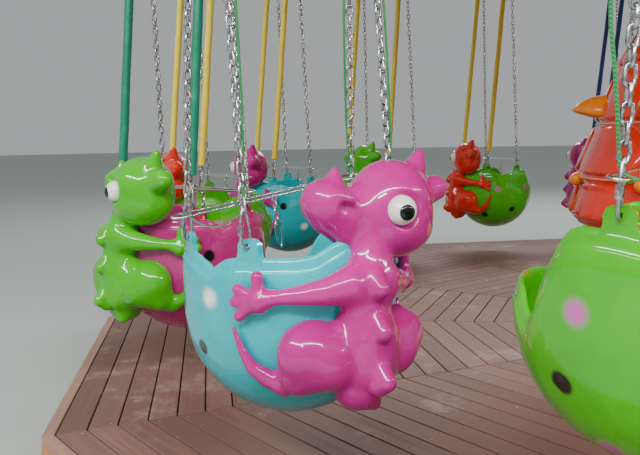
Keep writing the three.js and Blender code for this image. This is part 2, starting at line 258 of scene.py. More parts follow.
def galvanised(name):
    """Zinc on steel: pale grey with cloudy, duller patches."""
    zinc = Finish(name, Metallic=1.0)
    where = zinc.place()
    cloud = zinc.noise(where, 60.0, 4.0, 0.6)
    zinc.put("Base Color", zinc.blend(zinc.ramp(cloud, 0.3, 0.7), colour(150, 152, 155), colour(226, 228, 230)))
    zinc.put("Roughness", zinc.ramp(cloud, 0.25, 0.8) * 0.22 + 0.16)
    zinc.bump(zinc.noise(where, 320.0, 2.0), 0.2, 0.002)
    return zinc.material


def polished(name):
    """Stainless bar with fine drawing lines and finger marks."""
    steel = Finish(name, Metallic=1.0)
    where = steel.place()
    marks = steel.noise(where, 18.0, 4.0, 0.6)
    steel.put("Base Color", steel.blend(steel.ramp(marks, 0.3, 0.8), colour(232, 234, 236), colour(190, 192, 194)))
    steel.put("Roughness", steel.ramp(marks, 0.35, 0.8) * 0.18 + 0.10)
    steel.bump(steel.noise(steel.stretch(where, (1, 1, 40)), 30.0, 2.0), 0.08, 0.001)
    return steel.material


def sleeve_vinyl(name, base):
    """A soft plastic hose pulled over the chain, with creases and rubbed patches."""
    vinyl = Finish(name, Specular_IOR_Level=0.5)
    where = vinyl.place()
    rub = vinyl.ramp(vinyl.noise(where, 12.0, 4.0, 0.6), 0.45, 0.8)
    vinyl.put("Base Color", vinyl.blend(rub * 0.5, base, shade(base, 1.35)))
    vinyl.put("Roughness", rub * 0.25 + 0.28)
    vinyl.bump(vinyl.noise(vinyl.stretch(where, (1, 1, 0.25)), 38.0, 3.0), 0.5, 0.006)
    return vinyl.material


def rope_braid(name, base):
    """Twisted cord: slanting strands with painted shade in the grooves between them and painted highlight on their
    crowns, and fuzz.
    """
    braid = Finish(name, Sheen_Weight=0.3, Specular_IOR_Level=0.3)
    where = braid.place()
    strands = braid.node("ShaderNodeTexWave", {"wave_type": "BANDS", "bands_direction": "DIAGONAL"}, {
        "Vector": where, "Scale": 70.0, "Distortion": 1.0})
    # dark bands are painted shade in the grooves between strands, light bands painted highlight on the strands' crowns
    braid.put("Base Color", braid.blend(strands, shade(base, 0.6), shade(base, 1.25)))
    braid.put("Roughness", strands * 0.2 + 0.6)
    braid.bump(strands, 0.6, 0.002)
    return braid.material


def webbing(name, base):
    """Flat woven strap."""
    strap = Finish(name, Sheen_Weight=0.2, Specular_IOR_Level=0.3)
    where = strap.place()
    weave = strap.node("ShaderNodeTexWave", {"wave_type": "BANDS", "bands_direction": "Z"}, {
        "Vector": where, "Scale": 140.0})
    stain = strap.noise(where, 20.0, 3.0)
    strap.put("Base Color", strap.blend(stain, shade(base, 0.8), shade(base, 1.15)))
    strap.put("Roughness", weave * 0.15 + 0.75)
    strap.bump(weave, 0.5, 0.0015)
    return strap.material


def deck_timber(name, base):
    """Stained deck board: grain along the board, board to board tone, scuffs and grit."""
    wood = Finish(name, Specular_IOR_Level=0.35)
    along = wood.own("along")
    tone = wood.own("tone", 2)
    grain = wood.noise(wood.stretch(along, (1.6, 38.0, 38.0)), 1.0, 6.0, 0.62)
    streak = wood.noise(wood.stretch(along, (0.7, 9.0, 9.0)), 1.0, 4.0, 0.6)
    where = wood.place()
    scuff = wood.ramp(wood.noise(where, 2.6, 7.0, 0.72), 0.54, 0.70)
    grit = wood.ramp(wood.noise(where, 75.0, 3.0, 0.7), 0.62, 0.74)
    board = wood.blend(wood.ramp(grain, 0.3, 0.72), shade(base, 0.70), shade(base, 1.16))
    board = wood.blend(wood.ramp(streak, 0.35, 0.8) * 0.45, board, shade(base, 1.45))
    board = wood.blend(tone, board, shade(base, 0.66))
    board = wood.blend(scuff * 0.42, board, colour(186, 168, 156))
    wood.put("Base Color", wood.blend(grit * 0.25, board, colour(214, 204, 194)))
    wood.put("Roughness", wood.ramp(grain, 0.2, 0.9) * 0.25 + 0.45)
    wood.bump(grain + streak * 0.5, 0.35, 0.003)
    return wood.material


def fascia_timber(name):
    """Orange-brown edge boards with long grain."""
    wood = Finish(name, Specular_IOR_Level=0.4)
    where = wood.place()
    grain = wood.noise(wood.stretch(where, (1.5, 1.5, 60.0)), 1.0, 6.0, 0.6)
    wood.put("Base Color", wood.blend(wood.ramp(grain, 0.3, 0.75), colour(150, 92, 52), colour(214, 150, 98)))
    wood.put("Roughness", wood.ramp(grain, 0.2, 0.9) * 0.2 + 0.4)
    wood.bump(grain, 0.3, 0.003)
    return wood.material


RED = colour(214, 44, 20)
GREEN = colour(66, 180, 6)
TURQUOISE = colour(0, 186, 196)
MAGENTA = colour(192, 28, 136)
PINK_EGG = colour(180, 36, 116)
YELLOW = colour(240, 212, 30)
ORANGE = colour(238, 132, 20)
WHITE = colour(246, 246, 240)
BLACK = colour(14, 16, 16)
LILAC = colour(206, 84, 176)


def on_wall(angle, height):
    """The place on the tub's outer wall at an angle in degrees and a height."""
    sunk = max(TUB_BOTTOM + TUB_BOWL - height, 0) / TUB_BOWL
    out = math.sqrt(1 - sunk * sunk)
    turn = math.radians(angle)
    return (TUB_HALF_WIDTH * out * math.cos(turn), TUB_HALF_LENGTH * out * math.sin(turn), height)


def spots_round(first, second, places):
    """Airbrushed spots in the seat's own directions: angle, height, size and which paint."""
    return [(on_wall(angle, height), size, (first, second)[which]) for angle, height, size, which in places]


# The spots that the photo shows on the outer side come first
GREEN_SPOTS = ((-26.1, 0.866, 0.036, 0), (-34.6, 0.685, 0.034, 1), (-25.1, 0.518, 0.040, 0), (-118, 0.76, 0.036, 1),
               (-150, 0.88, 0.034, 0), (-172, 0.64, 0.036, 1), (162, 0.86, 0.034, 0), (140, 0.58, 0.036, 1),
               (-75, 0.60, 0.034, 0), (24, 0.60, 0.032, 1))
TEAL_SPOTS = ((11.2, 0.901, 0.038, 0), (1.0, 0.715, 0.030, 1), (-48, 0.70, 0.036, 0), (-82, 0.62, 0.034, 1),
              (-118, 0.74, 0.036, 0), (-150, 0.88, 0.032, 1), (-176, 0.68, 0.036, 0), (158, 0.86, 0.032, 1),
              (-28, 0.54, 0.034, 1), (-140, 0.55, 0.034, 0))

finishes = {
    "green_tub": gelcoat("green_gelcoat_spotted", GREEN, "home", spots_round(LILAC, BLACK, GREEN_SPOTS)),
    "turquoise_tub": gelcoat("turquoise_gelcoat_spotted", TURQUOISE, "home", spots_round(WHITE, BLACK, TEAL_SPOTS)),
    "pink_tub": gelcoat("pink_gelcoat_spotted", PINK_EGG, "home", spots_round(WHITE, BLACK, TEAL_SPOTS)),
    "red_dinosaur": gelcoat("red_gelcoat", RED, "home"),
    "pink_dinosaur": gelcoat("magenta_gelcoat", MAGENTA, "home"),
    "green_dinosaur": gelcoat("green_gelcoat", GREEN, "home"),
    "eye_white": gelcoat("eye_white", WHITE),
    "eye_black": gelcoat("eye_black", BLACK),
    "red_cladding": gelcoat("red_cladding_gelcoat", RED),
    "orange_cladding": gelcoat("orange_cladding_gelcoat", ORANGE),
    # the joint beads' pale colour is painted highlight for the light along the cladding's joints
    "seam_painted_highlight": gelcoat("seam_painted_highlight", colour(232, 160, 120)),
    "roof": gelcoat("roof_gelcoat", colour(222, 62, 40)),
    "yellow_gelcoat": gelcoat("yellow_gelcoat", YELLOW),
    "green_finial": gelcoat("green_finial_gelcoat", GREEN),
    "yellow_steel": painted_steel("yellow_enamel", YELLOW),
    "grey_steel": painted_steel("grey_enamel", colour(126, 132, 138)),
    "zinc": galvanised("galvanised_steel"),
    "stainless": polished("stainless_steel"),
    "green_sleeve": sleeve_vinyl("green_sleeve", colour(12, 122, 92)),
    "yellow_sleeve": sleeve_vinyl("yellow_sleeve", colour(236, 216, 62)),
    "blue_sleeve": sleeve_vinyl("blue_sleeve", colour(44, 66, 150)),
    "rope": rope_braid("green_rope", colour(24, 138, 66)),
    "strap": webbing("beige_strap", colour(176, 150, 134)),
    "deck": deck_timber("plum_deck_stain", colour(132, 98, 87)),
    "trim": deck_timber("pale_trim_board", colour(176, 136, 118)),
    "fascia": fascia_timber("orange_fascia_stain"),
}


# Making and placing pieces

def add_piece(name, mesh, finish_names, body, node=None, at=None):
    """Puts a finished mesh in its place on its body and the CAD node that it stands in for."""
    if at:
        mesh.transform(at)
    while len(mesh.materials) < len(finish_names):
        mesh.materials.append(None)
    for number, finish_name in enumerate(finish_names):
        mesh.materials[number] = finishes[finish_name]
    piece = put_in_scene(name, mesh)
    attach(piece, body)
    if node:
        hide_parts(node)


def mesh_of(name, vertices, faces):
    mesh = bpy.data.meshes.new(name)
    mesh.from_pydata([tuple(v) for v in vertices], [], [tuple(int(i) for i in f) for f in faces])
    mesh.validate()
    mesh.shade_smooth()
    return mesh


def quads(rows, wide, closed=True, first=0):
    """Faces between rows of points, which may be closed rings."""
    faces = []
    for i in range(rows - 1):
        low = first + i * wide
        for k in range(wide if closed else wide - 1):
            after = (k + 1) % wide
            faces.append((low + k, low + after, low + wide + after, low + wide + k))
    return faces


def keep_home(mesh):
    """Stores each point's place in the seat's own directions, for paint that goes with the seat."""
    layer = mesh.attributes.new("home", "FLOAT_VECTOR", "POINT")
    places = np.empty(len(mesh.vertices) * 3, np.float32)
    mesh.vertices.foreach_get("co", places)
    layer.data.foreach_set("vector", places)


def face_outwards(mesh):
    shape = bmesh.new()
    shape.from_mesh(mesh)
    bmesh.ops.remove_doubles(shape, verts=shape.verts, dist=0.00002)
    bmesh.ops.recalc_face_normals(shape, faces=shape.faces)
    shape.to_mesh(mesh)
    shape.free()


def mesh_from(shape, name):
    """The mesh of a bmesh, which is freed."""
    mesh = bpy.data.meshes.new(name)
    shape.to_mesh(mesh)
    shape.free()
    return mesh


def merged(name, parts):
    """Several meshes in one."""
    whole = bmesh.new()
    for part in parts:
        whole.from_mesh(part)
    return mesh_from(whole, name)


def evaluated(holder):
    """What an object's modifiers make, as a plain mesh. The modifiers and the object go."""
    graph = bpy.context.evaluated_depsgraph_get()
    result = bpy.data.meshes.new_from_object(holder.evaluated_get(graph))
    for modifier in list(holder.modifiers):
        holder.modifiers.remove(modifier)
    bpy.data.objects.remove(holder)
    return result


def modified(mesh, *steps):
    """A mesh with modifiers applied to it, given as (kind, settings)."""
    holder = put_in_scene("modified", mesh)
    for kind, settings in steps:
        modifier = holder.modifiers.new(kind, kind)
        for label, value in settings.items():
            setattr(modifier, label, value)
    return evaluated(holder)


def station(number):
    """The placing of a seat's own directions: x outwards, y along the ring, z up from the ground."""
    turn = RING_PHASE + TURN * (number - 1) / SEATS
    place = Matrix.Translation((RING_RADIUS * math.cos(turn), RING_RADIUS * math.sin(turn), 0))
    return place @ Matrix.Rotation(turn, 4, "Z")


def hung(number):
    """The placing of a seat with its lift and its twist on the chains."""
    lift = Matrix.Translation((0, 0, RAISED.get(number, 0)))
    return station(number) @ lift @ Matrix.Rotation(TWISTED.get(number, 0), 4, "Z")


# Geometry Nodes

class Grower(Bench):
    """A Geometry Nodes tree that is built in code and applied to a piece."""

    def __init__(self, name):
        self.tree = bpy.data.node_groups.new(name, "GeometryNodeTree")
        for way in ("INPUT", "OUTPUT"):
            self.tree.interface.new_socket("Geometry", in_out=way, socket_type="NodeSocketGeometry")
        self.source = self.tree.nodes.new("NodeGroupInput")
        self.sizes = {}

    def size(self, label, kind="NodeSocketFloat"):
        """A named input of the tree."""
        socket = self.tree.interface.new_socket(label, in_out="INPUT", socket_type=kind)
        self.sizes[label] = socket.identifier
        return Signal(self, next(s for s in self.source.outputs if s.identifier == socket.identifier))

    def shape(self):
        """The mesh that the tree is run on."""
        return Signal(self, self.source.outputs[0])

    def curve(self):
        return self.node("GeometryNodeMeshToCurve", sockets={"Mesh": self.shape()})

    def circle(self, points, radius):
        return self.node("GeometryNodeCurvePrimitiveCircle", {"mode": "RADIUS"}, {
            "Resolution": points, "Radius": radius})

    def vector(self, **parts):
        return self.node("ShaderNodeCombineXYZ", sockets=parts)

    def end(self, geometry):
        """Makes all instances real and smooth, in the finish that is given."""
        real = self.node("GeometryNodeRealizeInstances", sockets={"Geometry": geometry})
        smooth = self.node("GeometryNodeSetShadeSmooth", sockets={"Geometry": real})
        finish = self.size("Finish", "NodeSocketMaterial")
        done = self.node("GeometryNodeSetMaterial", sockets={"Geometry": smooth, "Material": finish})
        self.plug(self.tree.nodes.new("NodeGroupOutput").inputs[0], done)
        return self

    def grow(self, mesh, name, finish_name, **sizes):
        """Runs the tree on a mesh and returns what it makes as a plain mesh."""
        holder = put_in_scene(name, mesh)
        modifier = holder.modifiers.new(name, "NODES")
        modifier.node_group = self.tree
        modifier[self.sizes["Finish"]] = finishes[finish_name]
        for label, value in sizes.items():
            modifier[self.sizes[label]] = value
        grown = evaluated(holder)
        grown.name = name
        return grown


def chain_grower():
    """Oval links, each a quarter turn from the last, along every edge path."""
    grower = Grower("chain_links")
    pitch = grower.size("Pitch")
    wire = grower.size("Wire")
    half_width = grower.size("HalfWidth")
    points = grower.node("GeometryNodeCurveToPoints", {"mode": "LENGTH"}, {"Curve": grower.curve(), "Length": pitch})
    # the points carry the turn along the curve as another output
    turn = Signal(grower, points.socket.node.outputs["Rotation"])
    index = grower.node("GeometryNodeInputIndex")
    odd = grower.node("FunctionNodeIntegerMath", {"operation": "MODULO"}, {0: index, 1: 2})
    turned = grower.node("FunctionNodeRotateRotation", {"rotation_space": "LOCAL"}, {
        "Rotation": turn, "Rotate By": grower.vector(Z=odd * (math.pi / 2))})
    # the circle's upper half moves up and its lower half down, which leaves two straight sides
    where = grower.node("GeometryNodeInputPosition")
    height = grower.node("ShaderNodeSeparateXYZ", sockets={0: where}, output="Y")
    side = grower.node("ShaderNodeMath", {"operation": "SIGN"}, {0: height})
    offset = grower.vector(Y=side * (pitch * 0.5 + wire - half_width))
    long_loop = grower.node("GeometryNodeSetPosition", sockets={
        "Geometry": grower.circle(10, half_width), "Offset": offset})
    ring = grower.node("GeometryNodeCurveToMesh", sockets={"Curve": long_loop, "Profile Curve": grower.circle(5, wire)})
    stand = grower.node("GeometryNodeTransform", sockets={"Geometry": ring, "Rotation": (math.pi / 2, 0, 0)})
    return grower.end(grower.node("GeometryNodeInstanceOnPoints", sockets={
        "Points": points, "Instance": stand, "Rotation": turned}))


def tube_grower():
    """A round tube of the stored thickness along every edge path."""
    grower = Grower("tube_on_path")
    sides = grower.size("Sides", "NodeSocketInt")
    thickness = grower.node("GeometryNodeInputNamedAttribute", {"data_type": "FLOAT"}, {"Name": "thickness"})
    return grower.end(grower.node("GeometryNodeCurveToMesh", sockets={
        "Curve": grower.curve(), "Profile Curve": grower.circle(sides, 1.0), "Scale": thickness, "Fill Caps": True}))


def dome_grower():
    """A low head with sloping sides on every point, turned the way that the point faces."""
    grower = Grower("fixing_heads")
    radius = grower.size("Radius")
    height = grower.size("Height")
    sides = grower.size("Sides", "NodeSocketInt")
    facing = grower.node("GeometryNodeInputNamedAttribute", {"data_type": "FLOAT_VECTOR"}, {"Name": "facing"})
    turn = grower.node("FunctionNodeAlignRotationToVector", {"axis": "Z"}, {"Vector": facing})
    head = grower.node("GeometryNodeMeshCone", sockets={
        "Vertices": sides, "Side Segments": 1, "Radius Top": 0.72, "Radius Bottom": 1.0, "Depth": 1.0})
    return grower.end(grower.node("GeometryNodeInstanceOnPoints", sockets={
        "Points": grower.shape(), "Instance": head, "Rotation": turn,
        "Scale": grower.vector(X=radius, Y=radius, Z=height)}))


chains = chain_grower()
tubes = tube_grower()
domes = dome_grower()


def path_mesh(name, paths, radii=None):
    """Edges along several paths, with a radius at each point."""
    vertices = []
    edges = []
    for path in paths:
        start = len(vertices)
        vertices.extend(tuple(point) for point in path)
        edges.extend((start + i, start + i + 1) for i in range(len(path) - 1))
    mesh = bpy.data.meshes.new(name)
    mesh.from_pydata(vertices, edges, [])
    if radii is not None:
        layer = mesh.attributes.new("thickness", "FLOAT", "POINT")
        layer.data.foreach_set("value", [r for group in radii for r in group])
    return mesh


def rods(name, paths, radius, finish_name, sides):
    """Round rods of one radius along several paths."""
    radii = [[radius] * len(path) for path in paths]
    return tubes.grow(path_mesh(name, paths, radii), name, finish_name, Sides=sides)


def fixing_heads(name, places, radius, height, sides):
    """A piece of zinc heads on the base, from their places and the way that each faces."""
    mesh = bpy.data.meshes.new(name)
    mesh.from_pydata([tuple(p) for p, _ in places], [], [])
    layer = mesh.attributes.new("facing", "FLOAT_VECTOR", "POINT")
    layer.data.foreach_set("vector", [c for _, n in places for c in n])
    heads = domes.grow(mesh, name, "zinc", Radius=radius, Height=height, Sides=sides)
    add_piece(name, heads, ["zinc"], "base")


# The tub

# Height of the broken-shell rim over the ground from the low front, at -90 degrees, to the dinosaur's end, at 90
RIM_STOPS = ((-90, 0.893), (-78, 0.891), (-66, 0.880), (-60, 0.838), (-54, 0.817), (-50, 0.838), (-45.5, 0.905),
             (-39.3, 0.980), (-35.7, 1.018), (-31, 1.050), (-26, 1.060), (-14, 1.056), (-3.8, 1.044), (2.4, 1.032),
             (7.6, 1.020), (11.8, 1.004), (16.3, 1.022), (20.3, 1.036), (25, 1.043), (32, 1.047), (58, 1.047),
             (67.6, 1.055), (74, 1.078), (82, 1.102), (90, 1.106))
RIM_BAND = 0.048
RIM_FOOT = 0.060

# Rings of the wall, as shares of the way round its curve, and of the rim, as drops from its top and insets
OUTER_SHARES = (0.09, 0.18, 0.28, 0.38, 0.48, 0.58, 0.68, 0.78, 0.88, 0.95, 1.0)
INNER_SHARES = (0.92, 0.8, 0.66, 0.5, 0.34, 0.18)
RIM_RINGS = ((0.0450, 0.0016), (0.0415, 0.0048), (0.030, 0.0070), (0.016, 0.0100), (0.007, 0.0130), (0.002, 0.0172),
             (0.0, 0.0215), (0.002, 0.0258), (0.008, 0.0290), (0.022, 0.0300), (RIM_FOOT, 0.0240))


def rim_height(angle):
    """Height of the rim, alike on both sides of the tub."""
    fold = np.degrees(np.arcsin(np.clip(np.sin(angle), -1, 1)))
    return np.interp(fold, [stop[0] for stop in RIM_STOPS], [stop[1] for stop in RIM_STOPS])


def tub_ring(angles, height, inset):
    """A ring of the wall at a height, which may change round the tub, pulled in by an inset."""
    sunk = np.clip((TUB_BOTTOM + TUB_BOWL - height) / (TUB_BOWL - inset), 0, 0.99999)
    out = np.sqrt(1 - sunk * sunk)
    x = (TUB_HALF_WIDTH - inset) * out * np.cos(angles)
    y = (TUB_HALF_LENGTH - inset) * out * np.sin(angles)
    return np.stack([x, y, height + 0 * x], axis=-1)


def wall_rings(angles, low, high, shares, inset):
    """Rings from low to high, closest together at the bottom, where the wall curves most."""
    return [tub_ring(angles, low + (high - low) * (1 - math.cos(share * math.pi / 2)), inset) for share in shares]


def tub_mesh():
    """The egg's lower half as a shell, with a band round the top that leans in to a soft rim."""
    even = np.arange(0, 360, 4.0)
    key = np.array([stop[0] for stop in RIM_STOPS if abs(stop[0]) < 75])
    angles = np.radians(np.unique(np.round(np.concatenate([even, key % 360, (180 - key) % 360]), 1)))
    rim = rim_height(angles)
    inside = TUB_BOTTOM + TUB_WALL
    rows = wall_rings(angles, TUB_BOTTOM, rim - RIM_BAND, OUTER_SHARES, 0.0)
    rows += [tub_ring(angles, rim - drop, inset) for drop, inset in RIM_RINGS]
    rows += wall_rings(angles, inside, rim - RIM_FOOT, INNER_SHARES, TUB_WALL)
    vertices = [(0, 0, TUB_BOTTOM)] + [tuple(p) for row in rows for p in row] + [(0, 0, inside)]
    around = len(angles)
    last = 1 + (len(rows) - 1) * around
    faces = quads(len(rows), around, first=1)
    for k in range(around):
        after = (k + 1) % around
        faces.append((0, 1 + after, 1 + k))
        faces.append((last + k, last + after, len(vertices) - 1))
    return mesh_of("tub", vertices, faces)


LUG_HOLE_DROP = 0.025
LUG_HOLE = 0.0105
LUG_HALF_WIDTH = 0.037
LUG_CORNER = 0.026
LUG_HALF_THICKNESS = 0.0100
LUG_INSET = 0.0135
LUG_SINK = 0.022

# The lug of each chain: which side of the tub, and how far along it
CHAIN_PLACES = [(side, along) for side in (-1, 1) for along in (LUG_FRONT, LUG_BACK)]


def wall_reach(y):
    """How far out the middle of the tub's wall is, at a place along the tub."""
    return (TUB_HALF_WIDTH - TUB_WALL / 2) * math.sqrt(1 - min(abs(y) / TUB_HALF_LENGTH, 1) ** 2)


def lug_outline(foot):
    """The plate's edge from its hole's middle, anticlockwise: flared foot, straight sides, rounded top."""
    wide = LUG_HALF_WIDTH
    points = []
    for k in range(7):
        angle = math.pi / 2 * k / 6
        points.append((wide - LUG_CORNER * (1 - math.cos(angle)),
                       LUG_HOLE_DROP - LUG_CORNER * (1 - math.sin(angle))))
    right = [(wide + 0.013, foot), (wide + 0.009, foot + 0.014), (wide + 0.004, foot + 0.024),
             (wide + 0.001, foot + 0.034), (wide, foot * 0.2)] + points
    return right + [(-y, z) for y, z in reversed(right)]


def lug_mesh():
    """Four upright plates that grow out of the wall and follow its curve, each with a hole for its hook."""
    shape = bmesh.new()
    centre_z = LUG_TOP - LUG_HOLE_DROP
    for side, along in CHAIN_PLACES:
        rim = rim_height(np.array(math.asin(along / TUB_HALF_LENGTH))).item()
        outline = lug_outline(rim - LUG_SINK - centre_z)
        slope = abs(wall_reach(along + 0.01) - wall_reach(along - 0.01)) / 0.02
        narrow = 1 / math.hypot(1, slope)
        rings = []
        for thickness in (-LUG_HALF_THICKNESS, LUG_HALF_THICKNESS):
            edge = []
            hole = []
            for y, z in outline:
                angle = math.atan2(z, y)
                across = LUG_HOLE * math.cos(angle)
                for ring, py, pz in ((edge, y * narrow, z), (hole, across * narrow, LUG_HOLE * math.sin(angle))):
                    out = wall_reach(along + py) - LUG_INSET + thickness
                    ring.append(shape.verts.new((side * out, along + py, centre_z + pz)))
            rings += [edge, hole]
        low_edge, low_hole, high_edge, high_hole = rings
        for k in range(len(outline)):
            after = (k + 1) % len(outline)
            shape.faces.new((low_edge[k], low_edge[after], low_hole[after], low_hole[k]))
            shape.faces.new((high_edge[k], high_hole[k], high_hole[after], high_edge[after]))
            shape.faces.new((low_edge[k], high_edge[k], high_edge[after], low_edge[after]))
            shape.faces.new((low_hole[k], low_hole[after], high_hole[after], high_hole[k]))
    bmesh.ops.recalc_face_normals(shape, faces=shape.faces)
    return modified(mesh_from(shape, "lugs"), ("BEVEL", {"width": 0.0045, "segments": 3, "angle_limit": 0.8}))


# The dinosaur, as one soft surface grown from limbs and lumps

def figure(x, y, z):
    """A point of the figure, given in millimetres before its final size."""
    height = (z - FIGURE_DROP * 1000) * FIGURE_SCALE + DECK_TOP * 1000
    return np.array([x * FIGURE_SCALE, y * FIGURE_SCALE, height]) / 1000


class Clay:
    """A field of distances on a grid. Lumps and limbs, in the figure's millimetres, are pressed into it."""

    def __init__(self, low, high, cell):
        self.low = np.array(low, float)
        self.cell = cell
        counts = np.ceil((np.array(high) - self.low) / cell).astype(int) + 1
        axes = [self.low[i] + cell * np.arange(counts[i]) for i in range(3)]
        self.grid = np.stack(np.meshgrid(*axes, indexing="ij"), axis=-1).astype(np.float32)
        self.field = np.full(counts, 1.0, np.float32)

    def egg(self, centre, radii):
        """Distance to an ellipsoid, in metres."""
        reach = np.array(radii, np.float32)
        away = (self.grid - centre.astype(np.float32)) / reach
        near = np.linalg.norm(away, axis=-1)
        steep = np.linalg.norm(away / reach, axis=-1)
        return near * (near - 1) / np.maximum(steep, 1e-6)

    def lump(self, place, radii):
        return self.egg(figure(*place), [radius * FIGURE_SCALE / 1000 for radius in radii])

    def limb(self, *stops):
        """Distance to a tapering limb. Each stop is a place and how thick the limb is there."""
        points = [figure(*stop[:3]) for stop in stops]
        radii = [stop[3] * FIGURE_SCALE / 1000 for stop in stops]
        best = None
        for start, end, thick, thin in zip(points, points[1:], radii, radii[1:]):
            along = (end - start).astype(np.float32)
            away = self.grid - start.astype(np.float32)
            share = np.clip(away @ along / np.dot(along, along), 0, 1)
            gap = np.linalg.norm(away - share[..., None] * along, axis=-1) - (thick + share * (thin - thick))
            best = gap if best is None else np.minimum(best, gap)
        return best

    def add(self, distance, soft):
        share = np.clip(0.5 + 0.5 * (self.field - distance) / soft, 0, 1)
        self.field = self.field * (1 - share) + distance * share - soft * share * (1 - share)

    def carve(self, distance, soft):
        self.field = -self.field
        self.add(distance, soft)
        self.field = -self.field

    def skin(self):
        """Surface nets: one point in each cell that the surface crosses, and quads between them."""
        solid = self.field < 0
        counts = np.array(self.field.shape) - 1
        total = np.zeros((*counts, 3), np.float32)
        hits = np.zeros(tuple(counts), np.float32)
        for axis in range(3):
            others = [a for a in range(3) if a != axis]
            for steps in ((0, 0), (0, 1), (1, 0), (1, 1)):
                near = [slice(0, -1)] * 3
                for other, step in zip(others, steps):
                    near[other] = slice(step, counts[other] + step)
                far = list(near)
                far[axis] = slice(1, None)
                one = self.field[tuple(near)]
                two = self.field[tuple(far)]
                crossed = (one < 0) != (two < 0)
                total[..., axis] += np.where(crossed, one / np.where(crossed, one - two, 1), 0)
                for other, step in zip(others, steps):
                    total[..., other] += np.where(crossed, step, 0)
                hits += crossed
        used = hits > 0
        number = np.full(used.shape, -1, int)
        number[used] = np.arange(used.sum())
        cells = np.argwhere(used)
        vertices = self.low + self.cell * (cells + total[used] / hits[used][:, None])
        faces = []
        for axis in range(3):
            u, v = [(1, 2), (2, 0), (0, 1)][axis]
            near = [slice(1, -1)] * 3
            near[axis] = slice(0, -1)
            far = list(near)
            far[axis] = slice(1, None)
            one = solid[tuple(near)]
            two = solid[tuple(far)]
            for flag, order in ((one & ~two, 1), (~one & two, -1)):
                corners = []
                for du, dv in ((0, 0), (1, 0), (1, 1), (0, 1)):
                    spot = np.argwhere(flag)
                    spot[:, u] += du
                    spot[:, v] += dv
                    corners.append(number[tuple(spot.T)])
                faces.append(np.stack(corners[::order], axis=1))
        return vertices, np.concatenate(faces)


HEAD_MIDDLE = 354
EYE_PLACES = ((-98, 468, 1047), (-98, 240, 1052))
EYE_RADIUS = 47

# Each finger: the height of its tip, and how far it spreads from the middle one
FINGERS = ((822, 0.4), (784, 0.0), (742, -0.5))

# Rounded plates down the back: height and how far back each stands
PLATES = ((832, 466), (702, 476), (556, 492))

# How deep the figure reaches into the tub's wall, and the height from which it may reach over the tub
WALL_BITE = 0.012
OVER_RIM = 1.085


def outward(place):
    """1 for the eye on the head's far side from the tub, -1 for the other."""
    return 1 if place[1] > HEAD_MIDDLE else -1


def body_clay(clay):
    """Belly, chest, neck, arms, legs and tail."""
    clay.field = clay.limb((8, 382, 512, 84), (-8, 392, 574, 104), (-10, 398, 650, 94))
    clay.add(clay.limb((-10, 398, 650, 90), (-4, 402, 750, 80), (-16, 400, 830, 72)), 0.05)
    clay.add(clay.limb((-20, 398, 830, 76), (-30, 394, 895, 64), (-62, 376, 975, 70)), 0.04)
    for hand in (-1, 1):
        # arm round the tub, palm, thumb and fingers
        clay.add(clay.limb((hand * 62, 414, 830, 60), (hand * 128, 396, 818, 44), (hand * 200, 350, 808, 30),
                           (hand * 262, 293, 799, 21)), 0.04)
        clay.add(clay.limb((hand * 268, 288, 798, 28), (hand * 286, 268, 788, 38)), 0.014)
        clay.add(clay.limb((hand * 286, 270, 806, 25), (hand * 291, 264, 844, 19), (hand * 291, 264, 862, 20)), 0.010)
        for lift, spread in FINGERS:
            clay.add(clay.limb((hand * 296, 258, 788 + 28 * spread, 21),
                               (hand * 312, 234, 790 + (lift - 790) * 0.62, 17),
                               (hand * (330 - 10 * abs(spread)), 202 + 26 * abs(spread), lift, 19)), 0.006)
        # thigh, shin, and heel with the long toe that runs up the tub
        clay.add(clay.lump((hand * 158, 350, 632), (112, 92, 98)), 0.055)
        clay.add(clay.limb((hand * 126, 380, 596, 84), (hand * 184, 322, 560, 66), (hand * 204, 272, 524, 38)), 0.03)
        clay.add(clay.limb((hand * 200, 268, 522, 38), (hand * 247, 243, 540, 29), (hand * 286, 220, 574, 22),
                           (hand * 314, 205, 632, 14), (hand * 331, 186, 700, 7)), 0.018)
    clay.add(clay.limb((0, 406, 484, 34), (-26, 420, 448, 20)), 0.02)


def head_clay(clay):
    """Cranium, jaw, muzzle, nose, chin, nose horn, brow horn and the bump behind the head."""
    clay.add(clay.lump((-148, 354, 1058), (135, 138, 138)), 0.04)
    clay.add(clay.lump((-140, 356, 984), (150, 128, 100)), 0.04)
    clay.add(clay.limb((-60, 344, 1030, 92), (36, 332, 1040, 78)), 0.04)
    clay.add(clay.lump((88, 322, 1072), (60, 86, 72)), 0.03)
    clay.add(clay.limb((86, 326, 1012, 34), (20, 336, 992, 58), (-60, 346, 972, 90)), 0.018)
    clay.add(clay.limb((58, 334, 1112, 44), (54, 338, 1166, 14)), 0.016)
    clay.add(clay.limb((-236, 362, 1146, 50), (-272, 362, 1208, 18)), 0.02)
    clay.add(clay.limb((-262, 366, 1085, 56), (-330, 371, 1097, 42)), 0.02)
    for cheek in (-1, 1):
        # nostril: a raised fold over a hollow, and the crease between the lips
        clay.add(clay.limb((80, 330 + cheek * 64, 1094, 20), (50, 334 + cheek * 72, 1084, 20)), 0.014)
        clay.carve(clay.limb((70, 326 + cheek * 86, 1062, 17), (44, 332 + cheek * 84, 1042, 10)), 0.010)
        clay.carve(clay.limb((146, 322 + cheek * 26, 1006, 6), (114, 322 + cheek * 72, 1010, 6),
                             (56, 330 + cheek * 86, 1002, 3)), 0.008)
    for place in EYE_PLACES:
        x, y, z = place
        clay.carve(clay.lump((x, y + 24 * outward(place), z), (EYE_RADIUS + 13, 40, EYE_RADIUS + 13)), 0.010)


